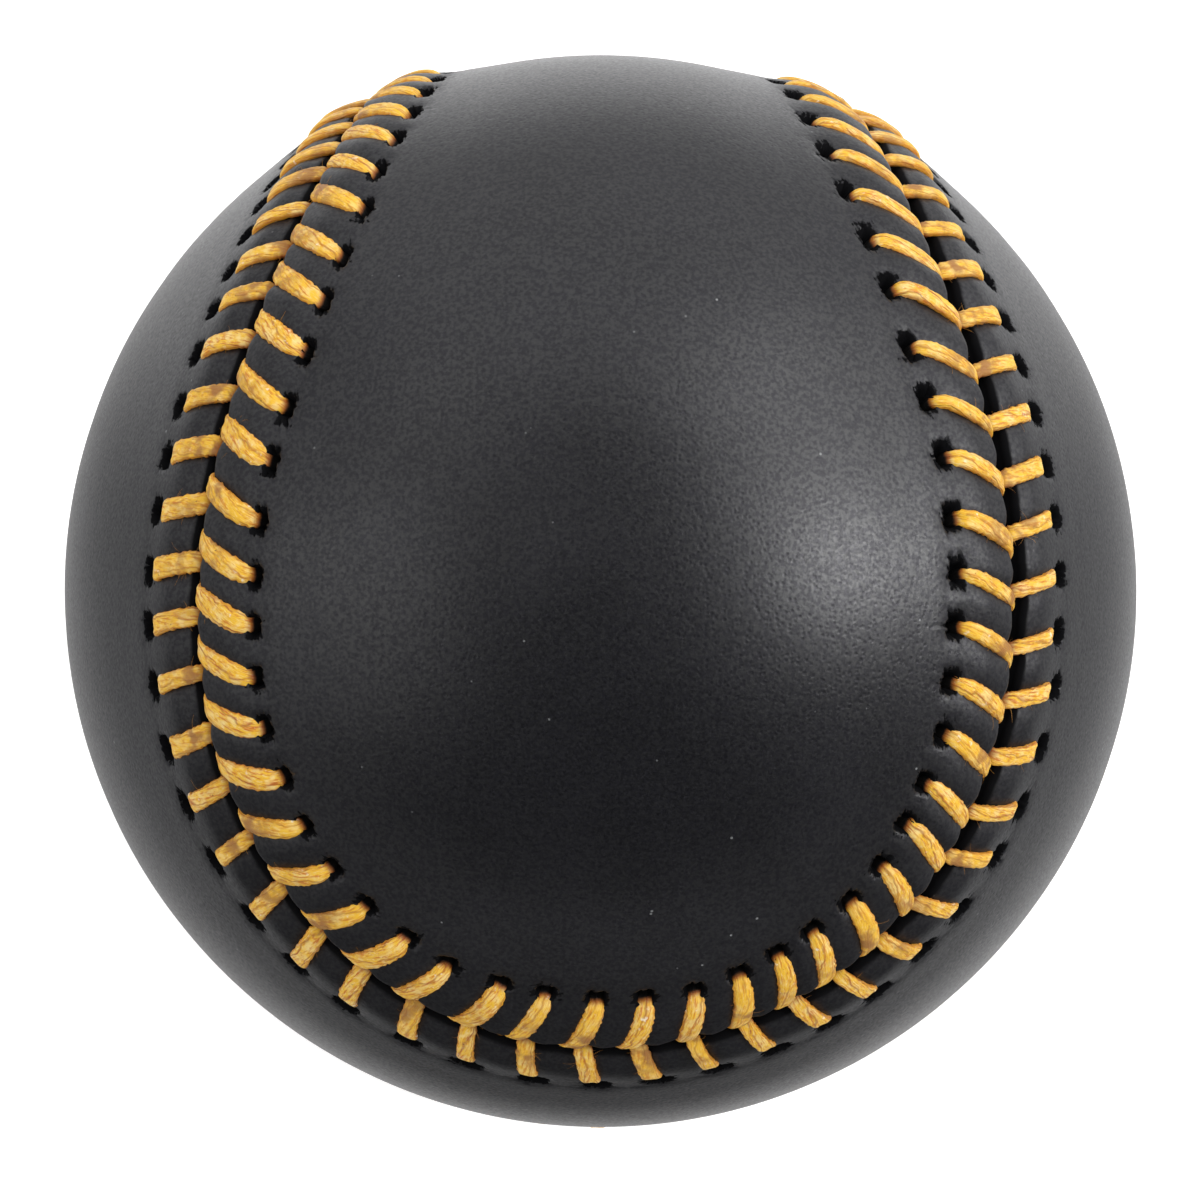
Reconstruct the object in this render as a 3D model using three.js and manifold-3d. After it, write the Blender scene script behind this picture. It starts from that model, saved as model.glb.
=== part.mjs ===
// A leather-covered baseball: a cork and rubber pill, four yarn windings, two figure-eight cover panels
// and the two threads that lace the panels together along one closed seam.
// Millimetres. The origin is the ball's centre, +Z passes through the middle of a lobe of cover panel A
// and +Y through that panel's waist. Panel B is the same shape, with its lobes along X and its waist at -Y.
import * as THREE from 'three';
import { mergeVertices } from 'three/addons/utils/BufferGeometryUtils.js';
import Module from 'manifold-3d';

// Cover
const BALL_DIAMETER = 73.4; // smooth leather, away from the raised seam
const LEATHER_THICKNESS = 1.3;
const COVER_GAP = 0.5; // between the finishing yarn and the flesh side of the leather
const EDGE_ROUND = 0.45; // how far the cut edge of the leather is rounded over
const SHOULDER_WIDTH = 3.4; // from the raised hole row out to the smooth ball

// Pill
const CORK_DIAMETER = 20.6;
const BLACK_RUBBER_WALL = 3.7;
const RED_RUBBER_WALL = 2.3;
const GASKET_THICKNESS = 0.8;
const LAYER_GAP = 0.25; // between one layer and the next

// Windings. The first one fills what is left between the pill and the second.
const SECOND_WINDING_WALL = 1.6;
const THIRD_WINDING_WALL = 2.0;
const FINISH_WINDING_WALL = 0.6;
const YARN_TAIL_BORE = 2.0; // needle hole through which a winding's yarn tail is drawn in

// Seam and lacing
const NECK_WIDTH = 31.6; // from seam to seam across a panel's waist, along the leather
const SEAM_LEAN = THREE.MathUtils.degToRad(11.5); // how far the seam leans over where two lobes meet
const STITCH_PITCH = 3.7; // from one needle hole to the next along the seam
const STITCH_PHASE = 0.277; // first hole past the tip of the lobe, in pitches
const HOLE_OFFSET = 4.7; // from the middle of the seam to a needle hole
const LEAD_A = 2.4; // how far along the seam a leg on panel A has run when it drops into the gap
const LEAD_B = 0.6; // the same on panel B, whose legs lie squarer to the seam
const THREAD_WIDTH = 1.2;
const THREAD_THICKNESS = 0.55;
const LACE_CLEARANCE = 0.25; // between the thread and the leather or yarn beside it
const TAIL_SHARE = 0.32; // how much of the last hidden run each thread end takes up

// Fineness of the facets
const CORE_DETAIL = 4; // subdivisions of the octahedron behind every inner ball
const FINISH_DETAIL = 6;
const BORE_SIDES = 8;
const FACET_LENGTH = 5.5; // across the smooth middle of a panel
const SEAM_DIVISIONS = 2160; // steps of the seam's arc length table
const GAP_SAMPLE_STEP = 0.6; // spacing of the points that measure a thread's clearance

// Radii of the layers, from the leather in and from the core out
const ballRadius = BALL_DIAMETER / 2;
const fleshRadius = ballRadius - LEATHER_THICKNESS;
const finishOuter = fleshRadius - COVER_GAP;
const finishInner = finishOuter - FINISH_WINDING_WALL;
const thirdOuter = finishInner - LAYER_GAP;
const thirdInner = thirdOuter - THIRD_WINDING_WALL;
const secondOuter = thirdInner - LAYER_GAP;
const secondInner = secondOuter - SECOND_WINDING_WALL;
const firstOuter = secondInner - LAYER_GAP;
const corkRadius = CORK_DIAMETER / 2;
const blackInner = corkRadius + LAYER_GAP;
const blackOuter = blackInner + BLACK_RUBBER_WALL;
const redInner = blackOuter + LAYER_GAP;
const redOuter = redInner + RED_RUBBER_WALL;
const firstInner = redOuter + LAYER_GAP;

// The leather stands up along the seam by what the thread under it needs
const laceRoom = THREAD_THICKNESS + 2 * LACE_CLEARANCE;
const seamRaise = laceRoom - COVER_GAP;
const edgeOffset = laceRoom / 2;
const crownOffset = edgeOffset + EDGE_ROUND;
const holeHalf = THREAD_WIDTH / 2 + LACE_CLEARANCE;
const holeNear = HOLE_OFFSET - holeHalf;
const holeFar = HOLE_OFFSET + holeHalf;
const raisedOffset = holeFar + EDGE_ROUND;
const shoulderOffset = raisedOffset + SHOULDER_WIDTH;
const overRadius = ballRadius + seamRaise + LACE_CLEARANCE + THREAD_THICKNESS / 2;
const underRadius = finishOuter + LACE_CLEARANCE + THREAD_THICKNESS / 2;

const wasm = await Module();
wasm.setup();

// The seam is a closed curve on the ball with a lobe to each of four sides. Its two shape numbers follow
// from the width of the neck and from how far the seam leans over half way between two lobe tips.
const neckSlope = Math.tan(NECK_WIDTH / BALL_DIAMETER);
const seamHeight = 2 / (3 * neckSlope + 2 * Math.tan(SEAM_LEAN));
const seamLobe = 1 - seamHeight * neckSlope;

class SeamCurve extends THREE.Curve {
  getPoint(t, target = new THREE.Vector3()) {
    const turn = Math.PI / 2 + 2 * Math.PI * t;
    target.set(
      Math.cos(turn) - seamLobe * Math.cos(3 * turn),
      seamHeight * Math.cos(2 * turn),
      Math.sin(turn) + seamLobe * Math.sin(3 * turn),
    );
    return target.setLength(ballRadius);
  }
}

const seam = new SeamCurve();
seam.arcLengthDivisions = SEAM_DIVISIONS;
const seamLength = seam.getLength();
const stitchesPerLobe = Math.max(2, Math.round(seamLength / (4 * STITCH_PITCH)));
const stitchCount = 4 * stitchesPerLobe;

// A point at a share of the seam's length, moved across the seam (positive towards panel A), at a radius.
function onBall(share, offset, radius) {
  const wrapped = ((share % 1) + 1) % 1;
  const out = seam.getPointAt(wrapped).normalize();
  const across = seam.getTangentAt(wrapped).cross(out).normalize();
  const angle = offset / ballRadius;
  return out.multiplyScalar(Math.cos(angle)).addScaledVector(across, Math.sin(angle)).multiplyScalar(radius);
}

function seamDirection(share) {
  return seam.getTangentAt(((share % 1) + 1) % 1);
}

// Collects points and faces of a closed mesh. Faces are given counter-clockwise from outside.
class Facets {
  constructor(flipped = false) {
    this.positions = [];
    this.indices = [];
    this.flipped = flipped;
  }

  point(vector) {
    this.positions.push(vector.x, vector.y, vector.z);
    return this.positions.length / 3 - 1;
  }

  triangle(a, b, c) {
    this.indices.push(a, this.flipped ? c : b, this.flipped ? b : c);
  }

  quad(a, b, c, d) {
    this.triangle(a, b, c);
    this.triangle(a, c, d);
  }

  // Four quads between an outer and an inner ring of four points
  frame(outer, inner) {
    outer.forEach((corner, i) => {
      const next = (i + 1) % outer.length;
      this.quad(corner, outer[next], inner[next], inner[i]);
    });
  }

  // Triangles between two rows of points that run the same way and may differ in number
  zip(left, right) {
    let i = 0;
    let j = 0;
    while (i < left.length - 1 || j < right.length - 1) {
      const leftShare = (i + 0.5) / Math.max(left.length - 1, 1);
      const rightShare = (j + 0.5) / Math.max(right.length - 1, 1);
      const stepLeft = j === right.length - 1 || (i < left.length - 1 && leftShare <= rightShare);
      if (stepLeft) {
        this.triangle(left[i], right[j], left[i + 1]);
        i += 1;
      } else {
        this.triangle(left[i], right[j], right[j + 1]);
        j += 1;
      }
    }
  }

  geometry() {
    const geometry = new THREE.BufferGeometry();
    geometry.setAttribute('position', new THREE.Float32BufferAttribute(this.positions, 3));
    geometry.setIndex(this.indices);
    geometry.computeVertexNormals();
    return geometry;
  }
}

// One face of a panel's rim band: a ring of points per offset, and the four corners of every needle hole
function rimPoints(facets, side, rings, baseRadius) {
  const columnShare = (k) => (k + STITCH_PHASE - 0.5) / stitchCount;
  const ring = ({ offset, raise }) => Array.from({ length: stitchCount }, (_, k) =>
    facets.point(onBall(columnShare(k), side * offset, baseRadius + raise)));
  const halfShare = holeHalf / seamLength;
  const holes = Array.from({ length: stitchCount }, (_, i) => {
    const share = (i + STITCH_PHASE) / stitchCount;
    const corners = [[-1, holeNear], [1, holeNear], [1, holeFar], [-1, holeFar]];
    return corners.map(([along, offset]) =>
      facets.point(onBall(share + along * halfShare, side * offset, baseRadius + seamRaise)));
  });
  return { rings: rings.map(ring), holes };
}

// The smooth middle of a panel: rungs across it, each joining two columns of the shoulder ring
function rungRows(facets, ring, tipColumn, radius) {
  const count = stitchCount / 2;
  const corner = (index) => new THREE.Vector3().fromArray(facets.positions, 3 * index);
  return Array.from({ length: count }, (_, j) => {
    const start = ring[(tipColumn + 1 + j) % stitchCount];
    const end = ring[(tipColumn - j + stitchCount) % stitchCount];
    const from = corner(start);
    const to = corner(end);
    const atTip = j === 0 || j === count - 1;
    const cells = atTip ? 1 : Math.max(1, Math.round(from.distanceTo(to) / FACET_LENGTH));
    const row = [start];
    for (let k = 1; k < cells; k += 1) {
      row.push(facets.point(from.clone().lerp(to, k / cells).setLength(radius)));
    }
    row.push(end);
    return row;
  });
}

// A figure-eight panel: leather of one thickness that stands up round its rim, with a row of needle holes
function coverPanel(side) {
  const facets = new Facets(side > 0);
  const tipColumn = side > 0 ? 0 : stitchesPerLobe;
  const grain = rimPoints(facets, side, [
    { offset: edgeOffset, raise: seamRaise - EDGE_ROUND },
    { offset: crownOffset, raise: seamRaise },
    { offset: raisedOffset, raise: seamRaise },
    { offset: shoulderOffset, raise: 0 },
  ], ballRadius);
  const flesh = rimPoints(facets, side, [
    { offset: edgeOffset, raise: seamRaise },
    { offset: raisedOffset, raise: seamRaise },
    { offset: shoulderOffset, raise: 0 },
  ], fleshRadius);
  const [edge, crown, raised, shoulder] = grain.rings;
  const [fleshEdge, fleshRaised, fleshShoulder] = flesh.rings;
  for (let i = 0; i < stitchCount; i += 1) {
    const next = (i + 1) % stitchCount;
    facets.quad(fleshEdge[i], fleshEdge[next], edge[next], edge[i]);
    facets.quad(edge[i], edge[next], crown[next], crown[i]);
    facets.frame([crown[i], crown[next], raised[next], raised[i]], grain.holes[i]);
    facets.quad(raised[i], raised[next], shoulder[next], shoulder[i]);
    facets.quad(fleshShoulder[i], fleshShoulder[next], fleshRaised[next], fleshRaised[i]);
    const fleshFrame = [fleshRaised[i], fleshRaised[next], fleshEdge[next], fleshEdge[i]];
    const [nearLeft, nearRight, farRight, farLeft] = flesh.holes[i];
    facets.frame(fleshFrame, [farLeft, farRight, nearRight, nearLeft]);
    facets.frame(grain.holes[i], flesh.holes[i]);
  }
  const grainRows = rungRows(facets, shoulder, tipColumn, ballRadius);
  const fleshRows = rungRows(facets, fleshShoulder, tipColumn, fleshRadius);
  for (let j = 0; j + 1 < grainRows.length; j += 1) {
    facets.zip(grainRows[j], grainRows[j + 1]);
    facets.zip(fleshRows[j + 1], fleshRows[j]);
  }
  return facets.geometry();
}

// Corners of one thread's route. A leg comes up through a hole, crosses its panel to the seam, drops into
// the gap, runs under the other panel and comes up through that panel's next hole.
function laceRoute(firstSide) {
  const corners = [];
  const add = (share, offset, radius) => corners.push({ share, point: onBall(share, offset, radius) });
  const holeShare = (i) => (i + STITCH_PHASE) / stitchCount;
  const sideOf = (i) => (i % 2 === 0 ? firstSide : -firstSide);
  const dropShare = (i) => holeShare(i) + (sideOf(i) > 0 ? LEAD_A : LEAD_B) / seamLength;
  const lastDrop = dropShare(-1);
  const hiddenRun = holeShare(0) - lastDrop;
  add(lastDrop + hiddenRun * (1 - TAIL_SHARE), firstSide * HOLE_OFFSET * (1 - TAIL_SHARE), underRadius);
  for (let i = 0; i < stitchCount; i += 1) {
    const side = sideOf(i);
    add(holeShare(i), side * HOLE_OFFSET, underRadius);
    add(holeShare(i), side * HOLE_OFFSET, overRadius);
    add(dropShare(i), 0, overRadius);
    add(dropShare(i), 0, underRadius);
  }
  const end = lastDrop + 1;
  add(end + hiddenRun * TAIL_SHARE, firstSide * HOLE_OFFSET * TAIL_SHARE, underRadius);
  return corners;
}

// A flattened thread carried along its route: a diamond section, mitred at every corner
function laceThread(route) {
  const facets = new Facets();
  const span = (k) => route[k + 1].point.clone().sub(route[k].point).normalize();
  const rings = route.map(({ share, point }, k) => {
    const isEnd = k === 0 || k === route.length - 1;
    const incoming = span(Math.max(k - 1, 0));
    const outgoing = span(Math.min(k, route.length - 2));
    const along = incoming.clone().add(outgoing).normalize();
    const wide = isEnd ? along.clone().cross(point) : incoming.clone().cross(outgoing);
    wide.normalize();
    if (wide.dot(seamDirection(share)) < 0) wide.negate();
    const thick = along.clone().cross(wide);
    const mitre = 1 / along.dot(outgoing);
    const halfWide = wide.multiplyScalar(THREAD_WIDTH / 2);
    const halfThick = thick.multiplyScalar((mitre * THREAD_THICKNESS) / 2);
    return [halfWide, halfThick, halfWide.clone().negate(), halfThick.clone().negate()]
      .map((reach) => facets.point(point.clone().add(reach)));
  });
  rings.slice(1).forEach((ring, k) => facets.frame(rings[k], ring));
  const first = rings[0];
  const last = rings[rings.length - 1];
  facets.quad(first[3], first[2], first[1], first[0]);
  facets.quad(last[0], last[1], last[2], last[3]);
  return facets.geometry();
}

// Least distance between stretches of one thread that are not neighbours on its route, less its width
function leastGap(route) {
  const samples = [];
  let travelled = 0;
  for (let k = 0; k + 1 < route.length; k += 1) {
    const span = route[k].point.distanceTo(route[k + 1].point);
    const steps = Math.ceil(span / GAP_SAMPLE_STEP);
    for (let step = 0; step < steps; step += 1) {
      const point = route[k].point.clone().lerp(route[k + 1].point, step / steps);
      samples.push({ point, travelled: travelled + (span * step) / steps });
    }
    travelled += span;
  }
  const neighbour = 2 * (HOLE_OFFSET + STITCH_PITCH);
  let least = Infinity;
  samples.forEach((a, i) => {
    for (let j = i + 1; j < samples.length; j += 1) {
      const apart = samples[j].travelled - a.travelled;
      if (apart > neighbour && apart < travelled - neighbour) {
        least = Math.min(least, a.point.distanceTo(samples[j].point));
      }
    }
  });
  return least - THREAD_WIDTH;
}

function toSolid(geometry) {
  const bare = geometry.clone();
  bare.deleteAttribute('normal');
  bare.deleteAttribute('uv');
  const merged = mergeVertices(bare);
  return new wasm.Manifold(new wasm.Mesh({
    numProp: 3,
    vertProperties: new Float32Array(merged.attributes.position.array),
    triVerts: new Uint32Array(merged.index.array),
  }));
}

function toGeometry(solid) {
  const { vertProperties, triVerts } = solid.getMesh();
  const geometry = new THREE.BufferGeometry();
  geometry.setAttribute('position', new THREE.Float32BufferAttribute(vertProperties, 3));
  geometry.setIndex(Array.from(triVerts));
  geometry.computeVertexNormals();
  return geometry;
}

function ballSolid(radius, detail = CORE_DETAIL) {
  return toSolid(new THREE.OctahedronGeometry(radius, detail));
}

// Half of a hollow ball on one side of a plane through its middle, set back from that plane
function halfShell(outer, inner, axis, setback) {
  const size = 2 * outer + LAYER_GAP;
  const middle = axis.clone().multiplyScalar(size / 2 + setback);
  const side = new THREE.BoxGeometry(size, size, size).translate(middle.x, middle.y, middle.z);
  return toGeometry(ballSolid(outer).subtract(ballSolid(inner)).intersect(toSolid(side)));
}

// A winding: a hollow ball of yarn with the needle hole of its yarn tail, at its own place round the ball
function winding(outer, inner, detail, tailAngle) {
  const boreRadius = YARN_TAIL_BORE / 2;
  const boreLength = outer + LAYER_GAP;
  const bore = new THREE.CylinderGeometry(boreRadius, boreRadius, boreLength, BORE_SIDES)
    .translate(0, boreLength / 2, 0)
    .rotateZ(tailAngle);
  return toGeometry(ballSolid(outer, detail).subtract(ballSolid(inner)).subtract(toSolid(bore)));
}

function gasketRing() {
  const profile = [
    [blackInner, -GASKET_THICKNESS / 2],
    [blackOuter, -GASKET_THICKNESS / 2],
    [blackOuter, GASKET_THICKNESS / 2],
    [blackInner, GASKET_THICKNESS / 2],
    [blackInner, -GASKET_THICKNESS / 2],
  ].map(([x, y]) => new THREE.Vector2(x, y));
  const segments = 4 * (CORE_DETAIL + 1);
  return new THREE.LatheGeometry(profile, segments).rotateX(Math.PI / 2);
}

function addPiece(ball, name, geometry, material) {
  const mesh = new THREE.Mesh(geometry, material);
  mesh.name = name;
  ball.add(mesh);
}

const finish = (color, roughness) => new THREE.MeshStandardMaterial({ color, roughness, metalness: 0 });
const leather = finish(0x26262a, 0.5);
const thread = finish(0xdeae4d, 0.7);
const cork = finish(0xa9784f, 0.9);
const blackRubber = finish(0x1c1c1c, 0.8);
const redRubber = finish(0xa3372c, 0.8);
const greyWool = finish(0x8d8a86, 0.95);
const whiteWool = finish(0xe4dfd3, 0.95);
const whiteCotton = finish(0xefe9da, 0.95);

const up = new THREE.Vector3(0, 0, 1);
const down = new THREE.Vector3(0, 0, -1);
const right = new THREE.Vector3(1, 0, 0);
const left = new THREE.Vector3(-1, 0, 0);
const cupSetback = GASKET_THICKNESS / 2 + LAYER_GAP;
const routeA = laceRoute(1);
const routeB = laceRoute(-1);

const baseball = new THREE.Group();
addPiece(baseball, 'cork_core', new THREE.OctahedronGeometry(corkRadius, CORE_DETAIL), cork);
addPiece(baseball, 'black_cup_upper', halfShell(blackOuter, blackInner, up, cupSetback), blackRubber);
addPiece(baseball, 'black_cup_lower', halfShell(blackOuter, blackInner, down, cupSetback), blackRubber);
addPiece(baseball, 'cup_gasket', gasketRing(), redRubber);
addPiece(baseball, 'red_shell_right', halfShell(redOuter, redInner, right, LAYER_GAP / 2), redRubber);
addPiece(baseball, 'red_shell_left', halfShell(redOuter, redInner, left, LAYER_GAP / 2), redRubber);
[
  ['first_winding', firstOuter, firstInner, CORE_DETAIL, greyWool],
  ['second_winding', secondOuter, secondInner, CORE_DETAIL, whiteWool],
  ['third_winding', thirdOuter, thirdInner, CORE_DETAIL, greyWool],
  ['finish_winding', finishOuter, finishInner, FINISH_DETAIL, whiteCotton],
].forEach(([name, outer, inner, detail, yarn], layer) => {
  const tailAngle = (layer * Math.PI) / 2;
  addPiece(baseball, name, winding(outer, inner, detail, tailAngle), yarn);
});
addPiece(baseball, 'cover_panel_a', coverPanel(1), leather);
addPiece(baseball, 'cover_panel_b', coverPanel(-1), leather);
addPiece(baseball, 'lace_thread_a', laceThread(routeA), thread);
addPiece(baseball, 'lace_thread_b', laceThread(routeB), thread);

console.log(`stitches ${stitchCount}, seam ${seamLength.toFixed(1)} mm, ball over the lacing `
  + `${(2 * overRadius + THREAD_THICKNESS).toFixed(2)} mm`);
console.log(`least gap of a thread to itself ${Math.min(leastGap(routeA), leastGap(routeB)).toFixed(2)} mm`);

export default baseball;
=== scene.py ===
"""Dresses a laced leather baseball for the studio.

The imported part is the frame. A finer surface of the same size and place stands for every piece of it: the two
leather panels, with their needle slits and the swell of the leather between the stitches, the two lacing
threads, the four yarn windings, and the rubber and cork pill inside them.
"""

from __future__ import annotations

import logging
import math
from dataclasses import dataclass, field
from enum import Enum
from functools import cached_property
from typing import Protocol

import bpy
import numpy as np
from mathutils import Matrix, Vector

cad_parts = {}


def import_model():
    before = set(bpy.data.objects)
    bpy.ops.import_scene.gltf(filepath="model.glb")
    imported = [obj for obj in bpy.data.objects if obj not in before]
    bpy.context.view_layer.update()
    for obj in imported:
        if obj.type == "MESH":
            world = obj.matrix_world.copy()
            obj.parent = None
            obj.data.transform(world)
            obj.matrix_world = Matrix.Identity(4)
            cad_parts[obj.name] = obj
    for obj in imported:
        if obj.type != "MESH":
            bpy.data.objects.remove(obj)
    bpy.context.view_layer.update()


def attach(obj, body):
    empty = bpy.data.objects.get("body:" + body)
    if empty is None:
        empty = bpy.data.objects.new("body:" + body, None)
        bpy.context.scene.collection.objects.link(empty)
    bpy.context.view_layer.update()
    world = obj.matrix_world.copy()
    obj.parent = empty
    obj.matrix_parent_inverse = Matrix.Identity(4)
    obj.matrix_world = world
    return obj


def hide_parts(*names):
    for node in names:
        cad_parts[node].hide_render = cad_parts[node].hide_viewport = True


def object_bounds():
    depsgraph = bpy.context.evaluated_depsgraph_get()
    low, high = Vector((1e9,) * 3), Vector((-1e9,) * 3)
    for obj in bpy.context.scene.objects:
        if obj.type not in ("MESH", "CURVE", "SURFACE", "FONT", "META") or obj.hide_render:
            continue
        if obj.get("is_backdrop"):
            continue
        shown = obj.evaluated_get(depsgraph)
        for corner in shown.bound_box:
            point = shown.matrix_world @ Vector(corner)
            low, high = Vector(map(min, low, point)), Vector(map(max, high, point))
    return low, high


LOG = logging.getLogger("baseball")
MM = 0.001
BODY = "root"
MAP_UNIT = 10.0  # millimetres to a unit of a thread's map
THREAD_ROUND = 3.6  # what a thread's map counts once round it, in millimetres

Array = np.ndarray
Colour = tuple[float, float, float, float]
WHITE: Colour = (1.0, 1.0, 1.0, 1.0)


def paint(red: int, green: int, blue: int) -> Colour:
    """Turns a colour of 0 to 255 per channel into the linear values that a shader takes.

    Args:
        red: Red channel.
        green: Green channel.
        blue: Blue channel.

    Returns:
        The linear colour, opaque.
    """
    shares = (channel / 255 for channel in (red, green, blue))
    linear = [s / 12.92 if s <= 0.04045 else ((s + 0.055) / 1.055) ** 2.4 for s in shares]
    return (linear[0], linear[1], linear[2], 1.0)


def smooth_step(value: Array, low: float, high: float) -> Array:
    """Rises from 0 at low to 1 at high, as 3q2 - 2q3 of the share q of the way.

    Args:
        value: Where to take the curve.
        low: Where it leaves 0.
        high: Where it reaches 1.

    Returns:
        The curve's values, in the shape of value.
    """
    share = np.clip((value - low) / (high - low), 0.0, 1.0)
    return share * share * (3.0 - 2.0 * share)


def unit(vectors: Array) -> Array:
    """Gives vectors of length 1 in the directions of the last axis."""
    return vectors / np.linalg.norm(vectors, axis=-1, keepdims=True)


def ripple(at: Array, wavelength: float, seed: int) -> Array:
    """Gives a seeded wavering line: a sum of five sines of nearby wavelengths with chance phases.

    Args:
        at: Places along the line.
        wavelength: The longest of the wavelengths.
        seed: What the phases are drawn from.

    Returns:
        Values of about -1 to 1, in the shape of at.
    """
    rng = np.random.default_rng(seed)
    turns = 2 * math.pi / wavelength * np.array([1.0, 1.37, 1.93, 2.61, 3.29])
    phases = rng.uniform(0, 2 * math.pi, 5)
    return np.sin(at[..., None] * turns + phases).mean(axis=-1) * 1.8


def quads(index: Array, flip: bool = False) -> Array:
    """Joins a grid of point numbers into four-cornered faces.

    Each face runs along the grid's second axis first and then along its first one.

    Args:
        index: Point numbers, row by row.
        flip: Whether the faces turn the other way.

    Returns:
        Four point numbers a face.
    """
    corners = [index[:-1, :-1], index[:-1, 1:], index[1:, 1:], index[1:, :-1]]
    faces = np.stack(corners, axis=-1).reshape(-1, 4)
    return faces[:, ::-1] if flip else faces


def fan(tip: int, row: Array, flip: bool = False) -> Array:
    """Joins one point to a row of points.

    Args:
        tip: The point's number.
        row: The numbers of the row's points.
        flip: Whether the faces turn the other way.

    Returns:
        Three point numbers a face: the tip, a point of the row and the next one.
    """
    faces = np.stack([np.full(len(row) - 1, tip), row[:-1], row[1:]], axis=-1)
    return faces[:, ::-1] if flip else faces


def ring_closed(index: Array) -> Array:
    """Repeats a grid's first column after its last, so that its faces close into a tube."""
    return np.concatenate([index, index[:, :1]], axis=1)


@dataclass
class Skin:
    """A mesh in the making.

    Points are in millimetres. A face's corners in map_corners run as the corners of faces do.
    """

    points: Array
    faces: list[Array]
    map_corners: Array | None = None
    values: dict[str, Array] = field(default_factory=dict)

    def to_object(self, name: str) -> bpy.types.Object:
        """Makes the mesh and its object, smooth and in metres.

        Args:
            name: The piece's name.

        Returns:
            The object, at the origin and in the scene.
        """
        mesh = bpy.data.meshes.new(name)
        corners = np.concatenate([part.ravel() for part in self.faces]).astype(np.int32)
        sizes = np.concatenate([np.full(len(part), part.shape[1]) for part in self.faces])
        starts = np.concatenate([[0], np.cumsum(sizes)[:-1]]).astype(np.int32)
        mesh.vertices.add(len(self.points))
        mesh.vertices.foreach_set("co", (self.points * MM).astype(np.float32).ravel())
        mesh.loops.add(len(corners))
        mesh.loops.foreach_set("vertex_index", corners)
        mesh.polygons.add(len(sizes))
        mesh.polygons.foreach_set("loop_start", starts)
        mesh.update(calc_edges=True)
        mesh.shade_smooth()
        if self.map_corners is not None:
            layer = mesh.uv_layers.new(name="thread_map")
            layer.data.foreach_set("uv", self.map_corners.astype(np.float32).ravel())
        for key, value in self.values.items():
            attribute = mesh.attributes.new(key, "FLOAT", "POINT")
            attribute.data.foreach_set("value", value.astype(np.float32).ravel())
        made = bpy.data.objects.new(name, mesh)
        bpy.context.scene.collection.objects.link(made)
        return made


class Side(Enum):
    """The two cover panels, by the sign of their side of the seam."""

    A = 1
    B = -1

    @property
    def other(self) -> Side:
        """The panel across the seam."""
        return Side(-self.value)


@dataclass(frozen=True)
class Seam:
    """The closed seam that parts the two panels, on the grain side of the leather, in millimetres."""

    ball_radius: float = 36.7
    neck_width: float = 31.6
    lean: float = math.radians(11.5)
    steps: int = 7200

    def curve(self, angle: Array) -> Array:
        """Gives points of the seam as unit vectors.

        The point is (cos a - b cos 3a, d cos 2a, sin a + b sin 3a) brought onto the unit ball, where d and b
        follow from the width of a panel's neck and from how far the seam leans between two lobes.

        Args:
            angle: The running angle a.

        Returns:
            Unit vectors, on one more axis than angle.
        """
        neck = math.tan(self.neck_width / (2 * self.ball_radius))
        reach = 2 / (3 * neck + 2 * math.tan(self.lean))
        bend = 1 - reach * neck
        return unit(np.stack([
            np.cos(angle) - bend * np.cos(3 * angle),
            reach * np.cos(2 * angle),
            np.sin(angle) + bend * np.sin(3 * angle),
        ], axis=-1))

    @cached_property
    def table(self) -> tuple[Array, Array]:
        """Steps along the seam, from a quarter turn on.

        Returns:
            Running angles and the distance along the seam at each.
        """
        angle = math.pi / 2 + np.linspace(0, 2 * math.pi, self.steps + 1)
        strides = np.linalg.norm(np.diff(self.curve(angle), axis=0), axis=-1) * self.ball_radius
        return angle, np.concatenate([[0.0], np.cumsum(strides)])

    @property
    def length(self) -> float:
        """Length of the whole seam."""
        return float(self.table[1][-1])

    def frames(self, along: Array) -> tuple[Array, Array, Array]:
        """Gives the directions at places on the seam.

        Args:
            along: Distances along the seam.

        Returns:
            Unit vectors out of the ball, ahead along the seam, and across it towards panel A.
        """
        angles, distances = self.table
        angle = np.interp(np.mod(along, self.length), distances, angles)
        nudge = 1e-4
        out = self.curve(angle)
        ahead = self.curve(angle + nudge) - self.curve(angle - nudge)
        ahead = unit(ahead - (ahead * out).sum(axis=-1, keepdims=True) * out)
        return out, ahead, np.cross(ahead, out)

    def place(self, along: Array, across: Array, height: Array) -> Array:
        """Puts points by the seam: along it, then across it over the ball, then up from the leather.

        Args:
            along: Distances along the seam.
            across: Distances across it over the ball, positive on panel A.
            height: Distances above the smooth ball.

        Returns:
            Points in the part's frame.
        """
        along, across, height = np.broadcast_arrays(along, across, height)
        out, _, sideways = self.frames(along)
        turn = (across / self.ball_radius)[..., None]
        radius = (self.ball_radius + height)[..., None]
        return (out * np.cos(turn) + sideways * np.sin(turn)) * radius


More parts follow.
